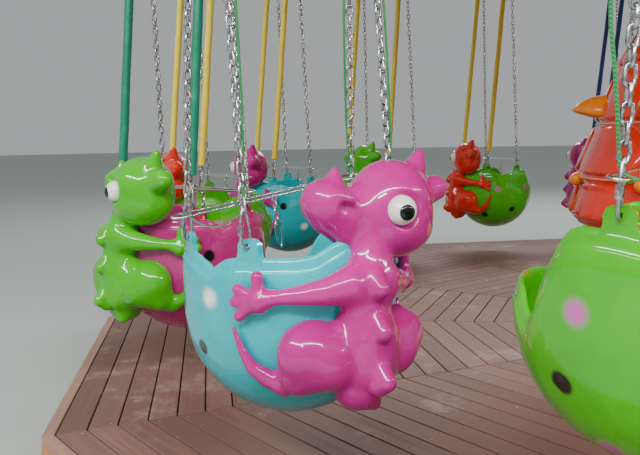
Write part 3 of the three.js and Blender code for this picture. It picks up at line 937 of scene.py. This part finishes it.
def tub_hollow(clay):
    """Distance to the room inside the tub, below the height where the figure may reach over it."""
    width = TUB_HALF_WIDTH - WALL_BITE
    length = TUB_HALF_LENGTH - WALL_BITE
    bowl_top = TUB_BOTTOM + TUB_BOWL
    x, y, z = (clay.grid[..., axis] for axis in range(3))
    bowl = clay.egg(np.array((0, 0, bowl_top)), (width, length, TUB_BOWL - WALL_BITE))
    wall = (np.hypot(x / width, y / length) - 1) * width
    return np.maximum(np.where(z > bowl_top, wall, bowl), z - OVER_RIM)


def dinosaur_mesh():
    """The whole figure without the tub's hollow."""
    clay = Clay((-0.50, 0.12, 0.46), (0.46, 0.70, 1.44), 0.0082)
    body_clay(clay)
    body = clay.field
    clay.field = np.full_like(body, 1.0)
    head_clay(clay)
    clay.add(body, 0.018)
    for z, back in PLATES:
        for end in (26, -30):
            clay.add(clay.limb((4, back - 12, z + end, 33), (4, back + 24, z - 10, 28)), 0.003)
    clay.field = np.maximum(clay.field, -tub_hollow(clay))
    mesh = mesh_of("dinosaur", *clay.skin())
    face_outwards(mesh)
    result = modified(mesh, ("SMOOTH", {"factor": 0.5, "iterations": 2}), ("DECIMATE", {"ratio": 0.38}))
    result.shade_smooth()
    return result


def ball(centre, radii, facing, rows=12, around=20):
    """A flattened ball whose pole looks along facing."""
    pole = Vector(facing).normalized()
    turn = pole.to_track_quat("Z", "Y").to_matrix()
    vertices = []
    faces = []
    for i in range(rows + 1):
        fall = math.pi * i / rows
        for k in range(around if 0 < i < rows else 1):
            angle = TURN * k / around
            local = Vector((radii[0] * math.sin(fall) * math.cos(angle), radii[1] * math.sin(fall) * math.sin(angle),
                            radii[2] * math.cos(fall)))
            vertices.append(Vector(centre) + turn @ local)
    for k in range(around):
        after = (k + 1) % around
        faces.append((0, 1 + k, 1 + after))
        for i in range(rows - 2):
            low = 1 + i * around
            faces.append((low + k, low + around + k, low + around + after, low + after))
        low = 1 + (rows - 2) * around
        faces.append((low + k, len(vertices) - 1, low + after))
    return vertices, faces


def joined_mesh(name, parts, finish_at=None):
    """One mesh from several lists of vertices and faces, each with its material's number."""
    vertices = []
    faces = []
    marks = []
    for number, (points, sides) in enumerate(parts):
        start = len(vertices)
        vertices.extend(points)
        faces.extend(tuple(start + i for i in side) for side in sides)
        marks.extend([finish_at[number] if finish_at else 0] * len(sides))
    mesh = mesh_of(name, vertices, faces)
    mesh.polygons.foreach_set("material_index", marks)
    return mesh


def eyes_mesh():
    """White balls set in the hollows, each with a raised black pupil."""
    parts = []
    size = EYE_RADIUS * FIGURE_SCALE / 1000
    for place in EYE_PLACES:
        centre = figure(*place)
        facing = (0.30, outward(place), 0.0)
        pupil = Vector(centre) + Vector(facing).normalized() * size * 0.85 + Vector((0, 0, -0.004))
        parts.append(ball(centre, (size, size, size * 0.96), facing))
        parts.append(ball(pupil, (size * 0.54, size * 0.52, size * 0.17), facing, 8, 16))
    return joined_mesh("eyes", parts, (0, 1, 0, 1))


tub = merged("tub", (tub_mesh(), lug_mesh()))
dinosaur = dinosaur_mesh()
eyes = eyes_mesh()
keep_home(tub)
keep_home(dinosaur)

# The tub's paint, the dinosaur's, and their slots
COLOURS = (("green", "red", "green_gelcoat", "red_gelcoat"),
           ("turquoise", "pink", "turquoise_gelcoat", "magenta_gelcoat"),
           ("pink", "green", "magenta_gelcoat", "green_gelcoat"))


for number in range(1, SEATS + 1):
    label = "%02d" % number
    egg_colour, figure_colour, egg_slot, figure_slot = COLOURS[(11 - number) % 3]
    for name, mesh, finish_names, slot, node in (
            ("tub_" + label, tub, [egg_colour + "_tub"], egg_slot, "seat_" + label),
            ("dinosaur_" + label, dinosaur, [figure_colour + "_dinosaur"], figure_slot, None),
            ("dinosaur_eyes_" + label, eyes, ["eye_white", "eye_black"], None, None)):
        copy = mesh.copy()
        copy.name = name
        add_piece(name, copy, finish_names, "swing_" + label, node, hung(number))


# Chains, hooks, sleeves, spreaders and lap bars

LINK_PITCH = 0.0386
LINK_WIRE = 0.0047
LINK_HALF_WIDTH = 0.0122
HOOK_FOOT = LUG_TOP - LUG_HOLE_DROP - 0.0055
HOOK_TOP = LUG_TOP + 0.098
HOOK_ROD = 0.0052
GATE_ROD = 0.0098

# The lap bar rests on the hooks with a slight lean, a hair clear of them
HOOK_CLEARANCE = 0.0003
BEARING_OUT = 0.022
BAR_LEAN = 0.05
BAR_REST = LUG_TOP + HOOK_LENGTH + HOOK_CLEARANCE + BEARING_OUT * BAR_LEAN
BAR_THICKNESS = 0.012
BAR_SLANT = 0.18
BAR_ROD = 0.0050

SLEEVE_RADIUS = 0.024
SLEEVE_STEPS = 18
ROPE_RADIUS = 0.0046
TAIL_RADIUS = 0.0028
STRAPPED_BARS = (9, 3, 14)

# One side of the lap bar, which bows round the front chains and meets the other in a bent point at each end
ROD_SIDE = [(-0.424, 0), (-0.420, 0.010), (-0.396, 0.0228), (-0.342, 0.0228), (-0.322, 0.0185),
            (0.322, 0.0185), (0.342, 0.0228), (0.396, 0.0228), (0.420, 0.010), (0.424, 0)]

# A strap from the side: how far forward and how far up, from one tail's end over the bar to the other's
STRAP_LINE = ((-0.016, -0.230), (-0.020, -0.120), (-0.027, -0.020), (-0.022, 0.014), (0.0, 0.022), (0.022, 0.014),
              (0.027, -0.020), (0.014, -0.120), (0.006, -0.260))

SLEEVE_BY_SEAT = {9: "green", 8: "yellow", 7: "yellow", 6: "yellow", 5: "yellow", 4: "blue", 3: "blue", 2: "blue",
                  1: "blue", 16: "green", 15: "green", 14: "green", 13: "yellow", 12: "yellow"}

# Each slack rope beside a bare chain: which chain, and how far off it hangs
ROPES = {10: ((1, LUG_BACK, (-0.015, 0.012)), (-1, LUG_FRONT, (0.015, -0.011)), (-1, LUG_BACK, (-0.014, 0.012))),
         11: ((1, LUG_FRONT, (0.028, -0.044)), (-1, LUG_FRONT, (0.014, -0.012)), (-1, LUG_BACK, (-0.014, 0.012)))}


def spreader_height(number):
    return PIN_HEIGHT - SPREADER_DROP - RAISED.get(number, 0)


def chain_point(number, side, along, height):
    """A point on a chain's line, from its lug up to the spreader."""
    share = (height - LUG_TOP) / (spreader_height(number) - LUG_TOP)
    out = wall_reach(along) + (SPREADER_REACH - wall_reach(along)) * share
    return Vector((side * out, along * (1 - share), height))


def hook_width(share):
    """Half the hook's width between its foot, at 0, and its top, at 1."""
    return (0.0235 - 0.0125 * share) * math.sin(math.pi * min(max(share, 0.0), 1.0)) ** 0.36


def pear(steps, upside_down=False):
    """A hook's closed outline: each point's turn, its share of the height and how far aside it is."""
    loop = []
    for k in range(steps + 1):
        turn = TURN * k / steps
        share = 0.5 - 0.5 * math.cos(turn)
        wide = hook_width(1 - share if upside_down else share)
        loop.append((turn, share, math.copysign(wide, math.sin(turn)) if k % (steps // 2) else 0.0))
    return loop


def hook_paths(number):
    """Snap hooks: a pear-shaped loop through each lug's hole."""
    tall = HOOK_TOP - HOOK_FOOT
    return [[chain_point(number, side, along, HOOK_FOOT + tall * share) + Vector((across, 0, 0))
             for _, share, across in pear(20)] for side, along in CHAIN_PLACES]


def gate_paths(number):
    """The thick screw sleeve on one side of each hook."""
    paths = []
    for side, along in CHAIN_PLACES:
        path = []
        for height in (LUG_TOP + 0.014, LUG_TOP + 0.044):
            share = (height - HOOK_FOOT) / (HOOK_TOP - HOOK_FOOT)
            path.append(chain_point(number, side, along, height) + Vector((side * hook_width(share), 0, 0)))
        paths.append(path)
    return paths


def hang_chains(number, label, at):
    """Four chains with their hooks. All but the bare ones have sleeves over the rear two."""
    top = spreader_height(number)
    links = []
    sleeves = []
    radii = []
    for side, along in CHAIN_PLACES:
        end = top - SPREADER_HALF_HEIGHT
        if along == LUG_BACK and number not in BARE_CHAINS:
            start = LUG_TOP + SLEEVE_START
            end = start + 0.02
            run = []
            thickness = []
            for i in range(SLEEVE_STEPS + 1):
                height = start + (top - 0.036 - start) * i / SLEEVE_STEPS
                wander = Vector((chooser.uniform(-1, 1), chooser.uniform(-1, 1), 0)) * 0.0014
                run.append(chain_point(number, side, along, height) + wander)
                thickness.append(SLEEVE_RADIUS + chooser.uniform(-0.0012, 0.0008))
            sleeves.append(run)
            radii.append(thickness)
        first = HOOK_TOP + LINK_PITCH / 2 - 0.006
        links.append([chain_point(number, side, along, first), chain_point(number, side, along, end)])
    mesh = merged("chains_" + label, (
        chains.grow(path_mesh("links", links), "links", "zinc", Pitch=LINK_PITCH, Wire=LINK_WIRE,
                    HalfWidth=LINK_HALF_WIDTH),
        rods("hooks", hook_paths(number), HOOK_ROD, "zinc", 7),
        rods("gates", gate_paths(number), GATE_ROD, "zinc", 10)))
    add_piece("chains_" + label, mesh, ["zinc"], "swing_" + label, at=at)
    if sleeves:
        finish_name = SLEEVE_BY_SEAT[number] + "_sleeve"
        mesh = tubes.grow(path_mesh("sleeve", sleeves, radii), "sleeves_" + label, finish_name, Sides=14)
        add_piece("sleeves_" + label, mesh, [finish_name], "swing_" + label, at=at)


def hang_ropes(number, label, at):
    """Slack ropes along bare chains, and a tail from the front hook to the rear one on the outer side."""
    rise = spreader_height(number) - SPREADER_HALF_HEIGHT - HOOK_TOP + 0.02
    ropes = []
    for side, along, away in ROPES[number]:
        run = []
        for i in range(37):
            share = i / 36
            swing = 0.35 + min(share * 7, 1) * 0.65 + 0.22 * math.sin(11 * share + along * 20)
            off = Vector((*away, 0)) * swing * (1 if share < 0.94 else (1 - share) / 0.06)
            run.append(chain_point(number, side, along, HOOK_TOP - 0.02 + rise * share) + off)
        ropes.append(run)
    tail = []
    for i in range(13):
        share = i / 12
        front = chain_point(number, 1, LUG_FRONT, HOOK_TOP - 0.03)
        back = chain_point(number, 1, LUG_BACK, HOOK_TOP - 0.02)
        sag = Vector((0.012, 0, -0.045 * math.sin(math.pi * share)))
        tail.append(front * (1 - share) + back * share + sag)
    radii = [[ROPE_RADIUS] * len(run) for run in ropes] + [[TAIL_RADIUS] * len(tail)]
    mesh = tubes.grow(path_mesh("rope", ropes + [tail], radii), "ropes_" + label, "rope", Sides=7)
    add_piece("ropes_" + label, mesh, ["rope"], "swing_" + label, at=at)


def hang_spreader(number, label, at):
    """The beam over the chains, with the boss that stands in line with the arm."""
    top = spreader_height(number)
    boss_top = top + SPREADER_DROP + 0.029
    boss_turn = Matrix.Rotation(-TWISTED.get(number, 0), 4, "Z")
    beam = bmesh.new()
    for turn, middle, size in (
            (Matrix.Identity(4), top, (2 * SPREADER_REACH + 0.058, 0.066, 0.066)),
            (boss_turn, (top + boss_top) / 2, (0.088, 0.049, boss_top - top))):
        place = turn @ (Matrix.Translation((0, 0, middle)) @ Matrix.Diagonal((*size, 1)))
        bmesh.ops.create_cube(beam, size=1, matrix=place)
    mesh = modified(mesh_from(beam, "spreader"), ("BEVEL", {"width": 0.006, "segments": 3}))
    add_piece("spreader_" + label, mesh, ["yellow_steel"], "swing_" + label, "hanger_" + label, at)


def strap_mesh(y, z):
    """A flat belt looped over the bar, with its two tails hanging together."""
    vertices = []
    for away, up in STRAP_LINE:
        for thick in (-0.0016, 0.0016):
            for edge in (-0.021, 0.021):
                vertices.append((0.11 + edge, y + away * (1 + thick / 0.02), z + up + thick))
    faces = []
    last = 4 * (len(STRAP_LINE) - 1)
    for low in range(0, last, 4):
        for a, b in ((0, 1), (1, 3), (3, 2), (2, 0)):
            faces.append((low + a, low + b, low + 4 + b, low + 4 + a))
    faces += [(0, 2, 3, 1), (last, last + 1, last + 3, last + 2)]
    mesh = mesh_of("strap", vertices, faces)
    mesh.shade_flat()
    face_outwards(mesh)
    return mesh


def hang_lap_bar(number, label, at):
    """Two rods round the front chains, with a short chain and a clip below their middle."""
    y = chain_point(number, 1, LUG_FRONT, BAR_REST).y
    z = BAR_REST + BAR_THICKNESS / 2
    drop = z - 0.016
    outline = [(px, -py) for px, py in ROD_SIDE] + ROD_SIDE[-2::-1]
    rod = [Vector((px, y + py, z - py * BAR_SLANT)) for px, py in outline]
    clip = [Vector((across * 0.9, y + 0.004 * math.sin(turn), drop - 0.190 + 0.105 * share))
            for turn, share, across in pear(16, upside_down=True)]
    short = path_mesh("clip_chain", [[Vector((0, y, drop)), Vector((0, y, drop - 0.085))]])
    mesh = merged("bar", (
        rods("bar", [rod], BAR_ROD, "stainless", 10),
        chains.grow(short, "clip_chain", "zinc", Pitch=0.026, Wire=0.0034, HalfWidth=0.0088),
        rods("clip", [clip], 0.0042, "zinc", 7)))
    bearing = Vector((wall_reach(LUG_FRONT) + BEARING_OUT, y, BAR_REST))
    tilt = Matrix.Rotation(TILTED_BARS.get(number, 0), 4, "Y")
    at = at @ (Matrix.Translation(bearing) @ tilt @ Matrix.Translation(-bearing))
    add_piece("lap_bar_rods_" + label, mesh, ["stainless"], "bar_" + label, "lap_bar_" + label, at)
    if number in STRAPPED_BARS:
        add_piece("bar_strap_" + label, strap_mesh(y, z), ["strap"], "bar_" + label, at=at)


chooser = random.Random(7)
for number in range(1, SEATS + 1):
    label = "%02d" % number
    at = hung(number)
    hang_chains(number, label, at)
    if number in BARE_CHAINS:
        hang_ropes(number, label, at)
    hang_spreader(number, label, at)
    hang_lap_bar(number, label, at)


# Deck boards

BOARD_PITCH = 0.130
BOARD_GAP = 0.007
BOARD_WIDTH = 0.123
TRIM_WIDTH = 0.052
PEDESTAL_RADIUS = 0.780
DECK_EDGE = DECK_APOTHEM - 0.001
DECK_SLOPE = math.tan(math.pi / DECK_SIDES)


def board_edges():
    """Outer edges of the whole rows of boards, from the trim inwards, and the edge of the last row."""
    edges = []
    edge = DECK_EDGE - TRIM_WIDTH - BOARD_GAP
    while edge - BOARD_WIDTH > PEDESTAL_RADIUS + 0.03:
        edges.append(edge)
        edge -= BOARD_PITCH
    return edges, edge


def deck_sector(rows, sector):
    """Quads for one side's boards, each between two distances from the middle."""
    vertices = []
    faces = []
    seam = BOARD_GAP / 2 / math.cos(math.pi / DECK_SIDES)
    turn = Matrix.Rotation(sector * TURN / DECK_SIDES, 4, "Z")
    for inner, outer in rows:
        start = len(vertices)
        for radius, side in ((inner, -1), (outer, -1), (outer, 1), (inner, 1)):
            vertices.append(turn @ Vector((radius, side * (radius * DECK_SLOPE - seam), DECK_TOP)))
        faces.append((start, start + 1, start + 2, start + 3))
    return vertices, faces


def board_grower():
    """Thickens each quad into a board, and stores a tone for it."""
    grower = Grower("deck_boards")
    thickness = grower.size("Thickness")
    seed = grower.size("Seed", "NodeSocketInt")
    index = grower.node("GeometryNodeInputIndex")
    tone = grower.node("FunctionNodeRandomValue", {"data_type": "FLOAT"}, {"ID": index, "Seed": seed}, output=1)
    toned = grower.node("GeometryNodeStoreNamedAttribute", {"data_type": "FLOAT", "domain": "FACE"}, {
        "Geometry": grower.shape(), "Name": "tone", "Value": tone})
    sunk = grower.node("GeometryNodeExtrudeMesh", {"mode": "FACES"}, {
        "Mesh": toned, "Offset": grower.vector(Z=thickness * -1.0), "Offset Scale": 1.0, "Individual": True})
    both = grower.node("GeometryNodeJoinGeometry")
    for part in (sunk, toned):
        grower.plug(both.socket.node.inputs[0], part)
    return grower.end(grower.node("GeometryNodeMergeByDistance", sockets={"Geometry": both, "Distance": 0.0001}))


def add_along(boards):
    """Stores, at each corner, how far it is along and across its board's own side of the deck."""
    layer = boards.attributes.new("along", "FLOAT_VECTOR", "CORNER")
    values = []
    for polygon in boards.polygons:
        centre = polygon.center
        sector = round(math.atan2(centre.y, centre.x) / (TURN / DECK_SIDES))
        turn = sector * TURN / DECK_SIDES
        row = math.floor((centre.x * math.cos(turn) + centre.y * math.sin(turn)) / BOARD_PITCH)
        for corner in polygon.loop_indices:
            point = boards.vertices[boards.loops[corner].vertex_index].co
            out = point.x * math.cos(turn) + point.y * math.sin(turn)
            side = -point.x * math.sin(turn) + point.y * math.cos(turn)
            values.extend((side + row * 3.7 + sector * 1.3, out, point.z + sector * 2.1))
    layer.data.foreach_set("vector", values)


def lay_deck():
    edges, last = board_edges()
    rows = [(edge - BOARD_PITCH + BOARD_GAP, edge) for edge in edges] + [(PEDESTAL_RADIUS + 0.012, last)]
    grower = board_grower()
    for name, finish_name, which, node in (("deck_planks", "deck", rows, "deck_boards"),
                                           ("deck_trim", "trim", [(DECK_EDGE - TRIM_WIDTH, DECK_EDGE)], None)):
        flat = joined_mesh(name, [deck_sector(which, sector) for sector in range(DECK_SIDES)])
        boards = grower.grow(flat, name, finish_name, Thickness=BOARD_THICKNESS, Seed=5)
        face_outwards(boards)
        boards = modified(boards, ("BEVEL", {"width": 0.0025, "segments": 1, "angle_limit": 0.5}))
        boards.shade_flat()
        add_along(boards)
        add_piece(name, boards, [finish_name], "base", node)


def deck_screws():
    """Two screws at each end of every board and two at its middle."""
    places = []
    for edge in board_edges()[0]:
        for sector in range(DECK_SIDES):
            turn = Matrix.Rotation(sector * TURN / DECK_SIDES, 4, "Z")
            for radius in (edge - 0.030, edge - 0.093):
                reach = radius * DECK_SLOPE - 0.045
                for side in (-reach, 0, reach):
                    places.append((turn @ Vector((radius, side, DECK_TOP + 0.0003)), (0, 0, 1)))
    fixing_heads("deck_screws", places, 0.0045, 0.0012, 5)


lay_deck()
deck_screws()


# Centre cladding

PETALS = 8
PETAL_STEP = TURN / PETALS
LOBE_DEPTH = 0.030
SKIN_SIDES = 192

# The skin between the petals: radius, height and how far the lobes swell
SKIRT_ROWS = [(0.16, 0.821, 0), (0.84, 0.821, 0), (0.955, 0.827, 0.6), (1.030, 0.850, 1), (1.056, 0.905, 1),
              (1.036, 0.985, 1), (1.010, 1.070, 0.8), (1.014, 1.118, 0.7), (1.028, 1.142, 0.6)]
CONE_ROWS = [(1.030, 1.152, 0.6), (1.016, 1.190, 0.6), (0.994, 1.250, 0.7), (0.955, 1.340, 0.7), (0.920, 1.440, 0.6),
             (0.905, 1.490, 0.5), (0.892, 1.540, 0.6), (0.862, 1.620, 0.7), (0.815, 1.730, 0.7), (0.785, 1.830, 0.7),
             (0.752, 1.910, 0.6), (0.700, 2.000, 0.6), (0.640, 2.100, 0.5), (0.560, 2.220, 0.4), (0.465, 2.350, 0.3),
             (0.415, 2.425, 0.1), (0.385, 2.447, 0), (0.16, 2.449, 0)]

# Each ring of petals: height and half width in degrees, from its foot to its tip
PETAL_RINGS = (
    ((0.868, 15.0), (0.900, 17.5), (0.960, 18.5), (1.020, 17.0), (1.070, 13.5), (1.104, 9.0), (1.122, 3.0)),
    ((1.166, 11.0), (1.190, 15.5), (1.230, 19.0), (1.300, 20.8), (1.360, 19.6), (1.420, 15.8), (1.460, 11.5),
     (1.480, 5.0)),
    ((1.502, 20.5), (1.530, 21.6), (1.580, 20.2), (1.630, 17.6), (1.686, 14.6), (1.740, 10.6), (1.790, 6.6),
     (1.840, 1.5)),
    ((1.862, 20.5), (1.900, 21.6), (1.960, 20.8), (2.050, 17.6), (2.140, 14.0), (2.230, 9.8), (2.320, 5.4),
     (2.390, 1.2)))

# Across a petal: share of its half width, and how proud of the skin it is there
PETAL_EDGE = ((1.0, -0.012), (0.995, 0.006), (0.97, 0.015), (0.90, 0.021), (0.72, 0.024), (0.45, 0.027), (0.15, 0.028))
PETAL_SECTION = [(-share, lift) for share, lift in PETAL_EDGE] + list(reversed(PETAL_EDGE))

# Across a bead of filler: out and up from its middle
BEAD = ((-0.020, -0.007), (0.001, -0.006), (0.005, -0.003), (0.006, 0), (0.005, 0.003), (0.001, 0.006),
        (-0.020, 0.007))


def lobe_radius(radius, share, angle):
    """The skin's radius at an angle, fuller at each petal's middle."""
    return radius * (1 + LOBE_DEPTH * share * (abs(math.cos(angle / PETAL_STEP * math.pi)) ** 0.7 * 2 - 1.2))


def lobed_skin(profile):
    """A turned skin whose radius swells and sinks with the lobes."""
    vertices = []
    for radius, height, share in profile:
        for k in range(SKIN_SIDES):
            angle = TURN * k / SKIN_SIDES
            out = lobe_radius(radius, share, angle)
            vertices.append((out * math.cos(angle), out * math.sin(angle), height))
    return vertices, quads(len(profile), SKIN_SIDES)


def smooth_profile(points, steps=5):
    """Rows between the given ones on a Catmull-Rom curve."""
    rows = []
    for i in range(len(points) - 1):
        before = points[max(i - 1, 0)]
        after = points[min(i + 2, len(points) - 1)]
        for step in range(steps):
            t = step / steps
            rows.append(tuple(0.5 * (2 * b + (c - a) * t + (2 * a - 5 * b + 4 * c - d) * t * t
                                     + (3 * b - a - 3 * c + d) * t ** 3)
                              for a, b, c, d in zip(before, points[i], points[i + 1], after)))
    rows.append(tuple(points[-1]))
    return rows


def skin_point(rows, height, angle, proud):
    """A point over the cladding's skin at a height and an angle."""
    heights = [row[1] for row in rows]
    radius = np.interp(height, heights, [row[0] for row in rows])
    share = np.interp(height, heights, [row[2] for row in rows])
    out = lobe_radius(radius, share, angle) + proud
    return (out * math.cos(angle), out * math.sin(angle), height)


def petal_sheet(rows, ring, centre):
    """One petal: a raised panel that follows the skin, with a rolled edge."""
    outline = smooth_profile(ring, 3)
    vertices = []
    for i, (height, half_width) in enumerate(outline):
        rise = (0.0, 0.55, 0.85, 1.0)[min(i, len(outline) - 1 - i, 3)]
        for share, lift in PETAL_SECTION:
            angle = centre + math.radians(max(half_width, 0.2)) * share
            vertices.append(skin_point(rows, height, angle, -0.012 + (lift + 0.012) * rise))
    return vertices, quads(len(outline), len(PETAL_SECTION), closed=False)


def leaf_tip(centre):
    """An orange leaf that stands out between two petals and ends in a point."""
    sides = 16
    steps = 12
    vertices = []
    for i in range(steps + 1):
        share = i / steps
        out = 0.850 + 0.222 * share
        middle = 1.572 + 0.012 * share
        tall = 0.108 * (1 - share ** 2) ** 0.8 + 0.0015
        wide = 0.170 * (1 - share ** 1.3) ** 0.8 + 0.0015
        for k in range(sides):
            turn = TURN * k / sides
            lower = 0.45 if math.sin(turn) < 0 else 1.0
            across = wide * math.cos(turn)
            height = middle + tall * math.sin(turn) * lower - 1.2 * across * across
            angle = centre + math.atan2(across, out)
            vertices.append((out * math.cos(angle), out * math.sin(angle), height))
    ends = [tuple(range(sides - 1, -1, -1)), tuple(steps * sides + k for k in range(sides))]
    return vertices, quads(steps + 1, sides) + ends


def seam_band(height, radius, share):
    """A thin raised bead along a joint of the cladding; its pale finish is painted highlight for the light along the
    joint.
    """
    return lobed_skin([(radius + out, height + up, share) for out, up in BEAD])


def clad_centre():
    skirt = [lobed_skin(smooth_profile(SKIRT_ROWS))]
    cone = [lobed_skin(smooth_profile(CONE_ROWS, 4))]
    seams = [seam_band(1.147, 1.026, 0.6), seam_band(1.490, 0.908, 0.5)]
    bolts = []
    leaves = []
    knobs = []
    for number in range(PETALS):
        centre = PETAL_STEP * number
        skirt.append(petal_sheet(SKIRT_ROWS, PETAL_RINGS[0], centre))
        cone.extend(petal_sheet(CONE_ROWS, ring, centre) for ring in PETAL_RINGS[1:])
        gap = centre + PETAL_STEP / 2
        leaves.append(leaf_tip(gap))
        facing = (math.cos(gap), math.sin(gap), 0)
        knobs.append(ball((1.028 * facing[0], 1.028 * facing[1], 1.124), (0.052, 0.046, 0.050), facing, 10, 18))
        for aside in (-10, 10):
            angle = centre + math.radians(aside)
            bolts.append((skin_point(SKIRT_ROWS, 0.925, angle, 0.0265), (math.cos(angle), math.sin(angle), 0.05)))
    for name, parts, finish_name, slot, node in (
            ("cladding_skirt", skirt, "red_cladding", "red_gelcoat", "lower_cladding"),
            ("cladding_cone", cone, "red_cladding", "red_gelcoat", "upper_cladding"),
            ("cladding_leaves", leaves, "orange_cladding", "yellow_gelcoat", None),
            ("cladding_knobs", knobs, "orange_cladding", "yellow_gelcoat", None),
            # the joint beads take a pale finish that is painted highlight
            ("cladding_seams", seams, "seam_painted_highlight", "red_gelcoat", None)):
        mesh = joined_mesh(name, parts)
        face_outwards(mesh)
        add_piece(name, mesh, [finish_name], "base", node)
    fixing_heads("cladding_bolts", bolts, 0.017, 0.009, 12)


clad_centre()


# CAD nodes that keep their shape

for node, finish_name in (("deck_frame", "grey_steel"), ("deck_fascia", "fascia"), ("centre_pedestal", "yellow_steel"),
                          ("mast", "yellow_steel"), ("rotor_hub", "grey_steel"), ("sweep_frame", "yellow_steel"),
                          ("rounding_board", "yellow_gelcoat"), ("roof", "roof"), ("finial", "green_finial")):
    for material_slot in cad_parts[node].material_slots:
        material_slot.material = finishes[finish_name]


# Floor and light

def make_floor():
    shape = bmesh.new()
    bmesh.ops.create_circle(shape, cap_ends=True, radius=90, segments=64)
    ground = Finish("pale_floor", Base_Color=(0.42, 0.47, 0.44, 1), Roughness=0.7, Specular_IOR_Level=0.2)
    mesh = mesh_from(shape, "floor")
    mesh.materials.append(ground.material)
    put_in_scene("floor", mesh)


def area_light(name, place, target, width, height, power):
    lamp = bpy.data.lights.new(name, "AREA")
    lamp.shape = "RECTANGLE"
    lamp.size = width
    lamp.size_y = height
    lamp.energy = power
    holder = put_in_scene(name, lamp)
    holder.location = place
    holder.rotation_euler = (Vector(target) - Vector(place)).to_track_quat("-Z", "Y").to_euler()


def make_light():
    world = bpy.data.worlds.new("studio")
    world.use_nodes = True
    background = world.node_tree.nodes["Background"]
    background.inputs["Color"].default_value = (0.86, 0.88, 0.90, 1)
    background.inputs["Strength"].default_value = 0.48
    bpy.context.scene.world = world
    area_light("long_window", (-9, -7, 7.5), (-2, -2, 0.8), 11, 0.35, 1100)
    area_light("roof_strip", (-1, -10, 8), (0, -2, 0.8), 12, 0.30, 1100)
    area_light("side_strip", (9, -6, 7), (2, -2, 0.8), 9, 0.35, 700)
    area_light("back_strip", (3, 10, 8), (0, 2, 0.8), 11, 0.40, 800)


make_floor()
make_light()
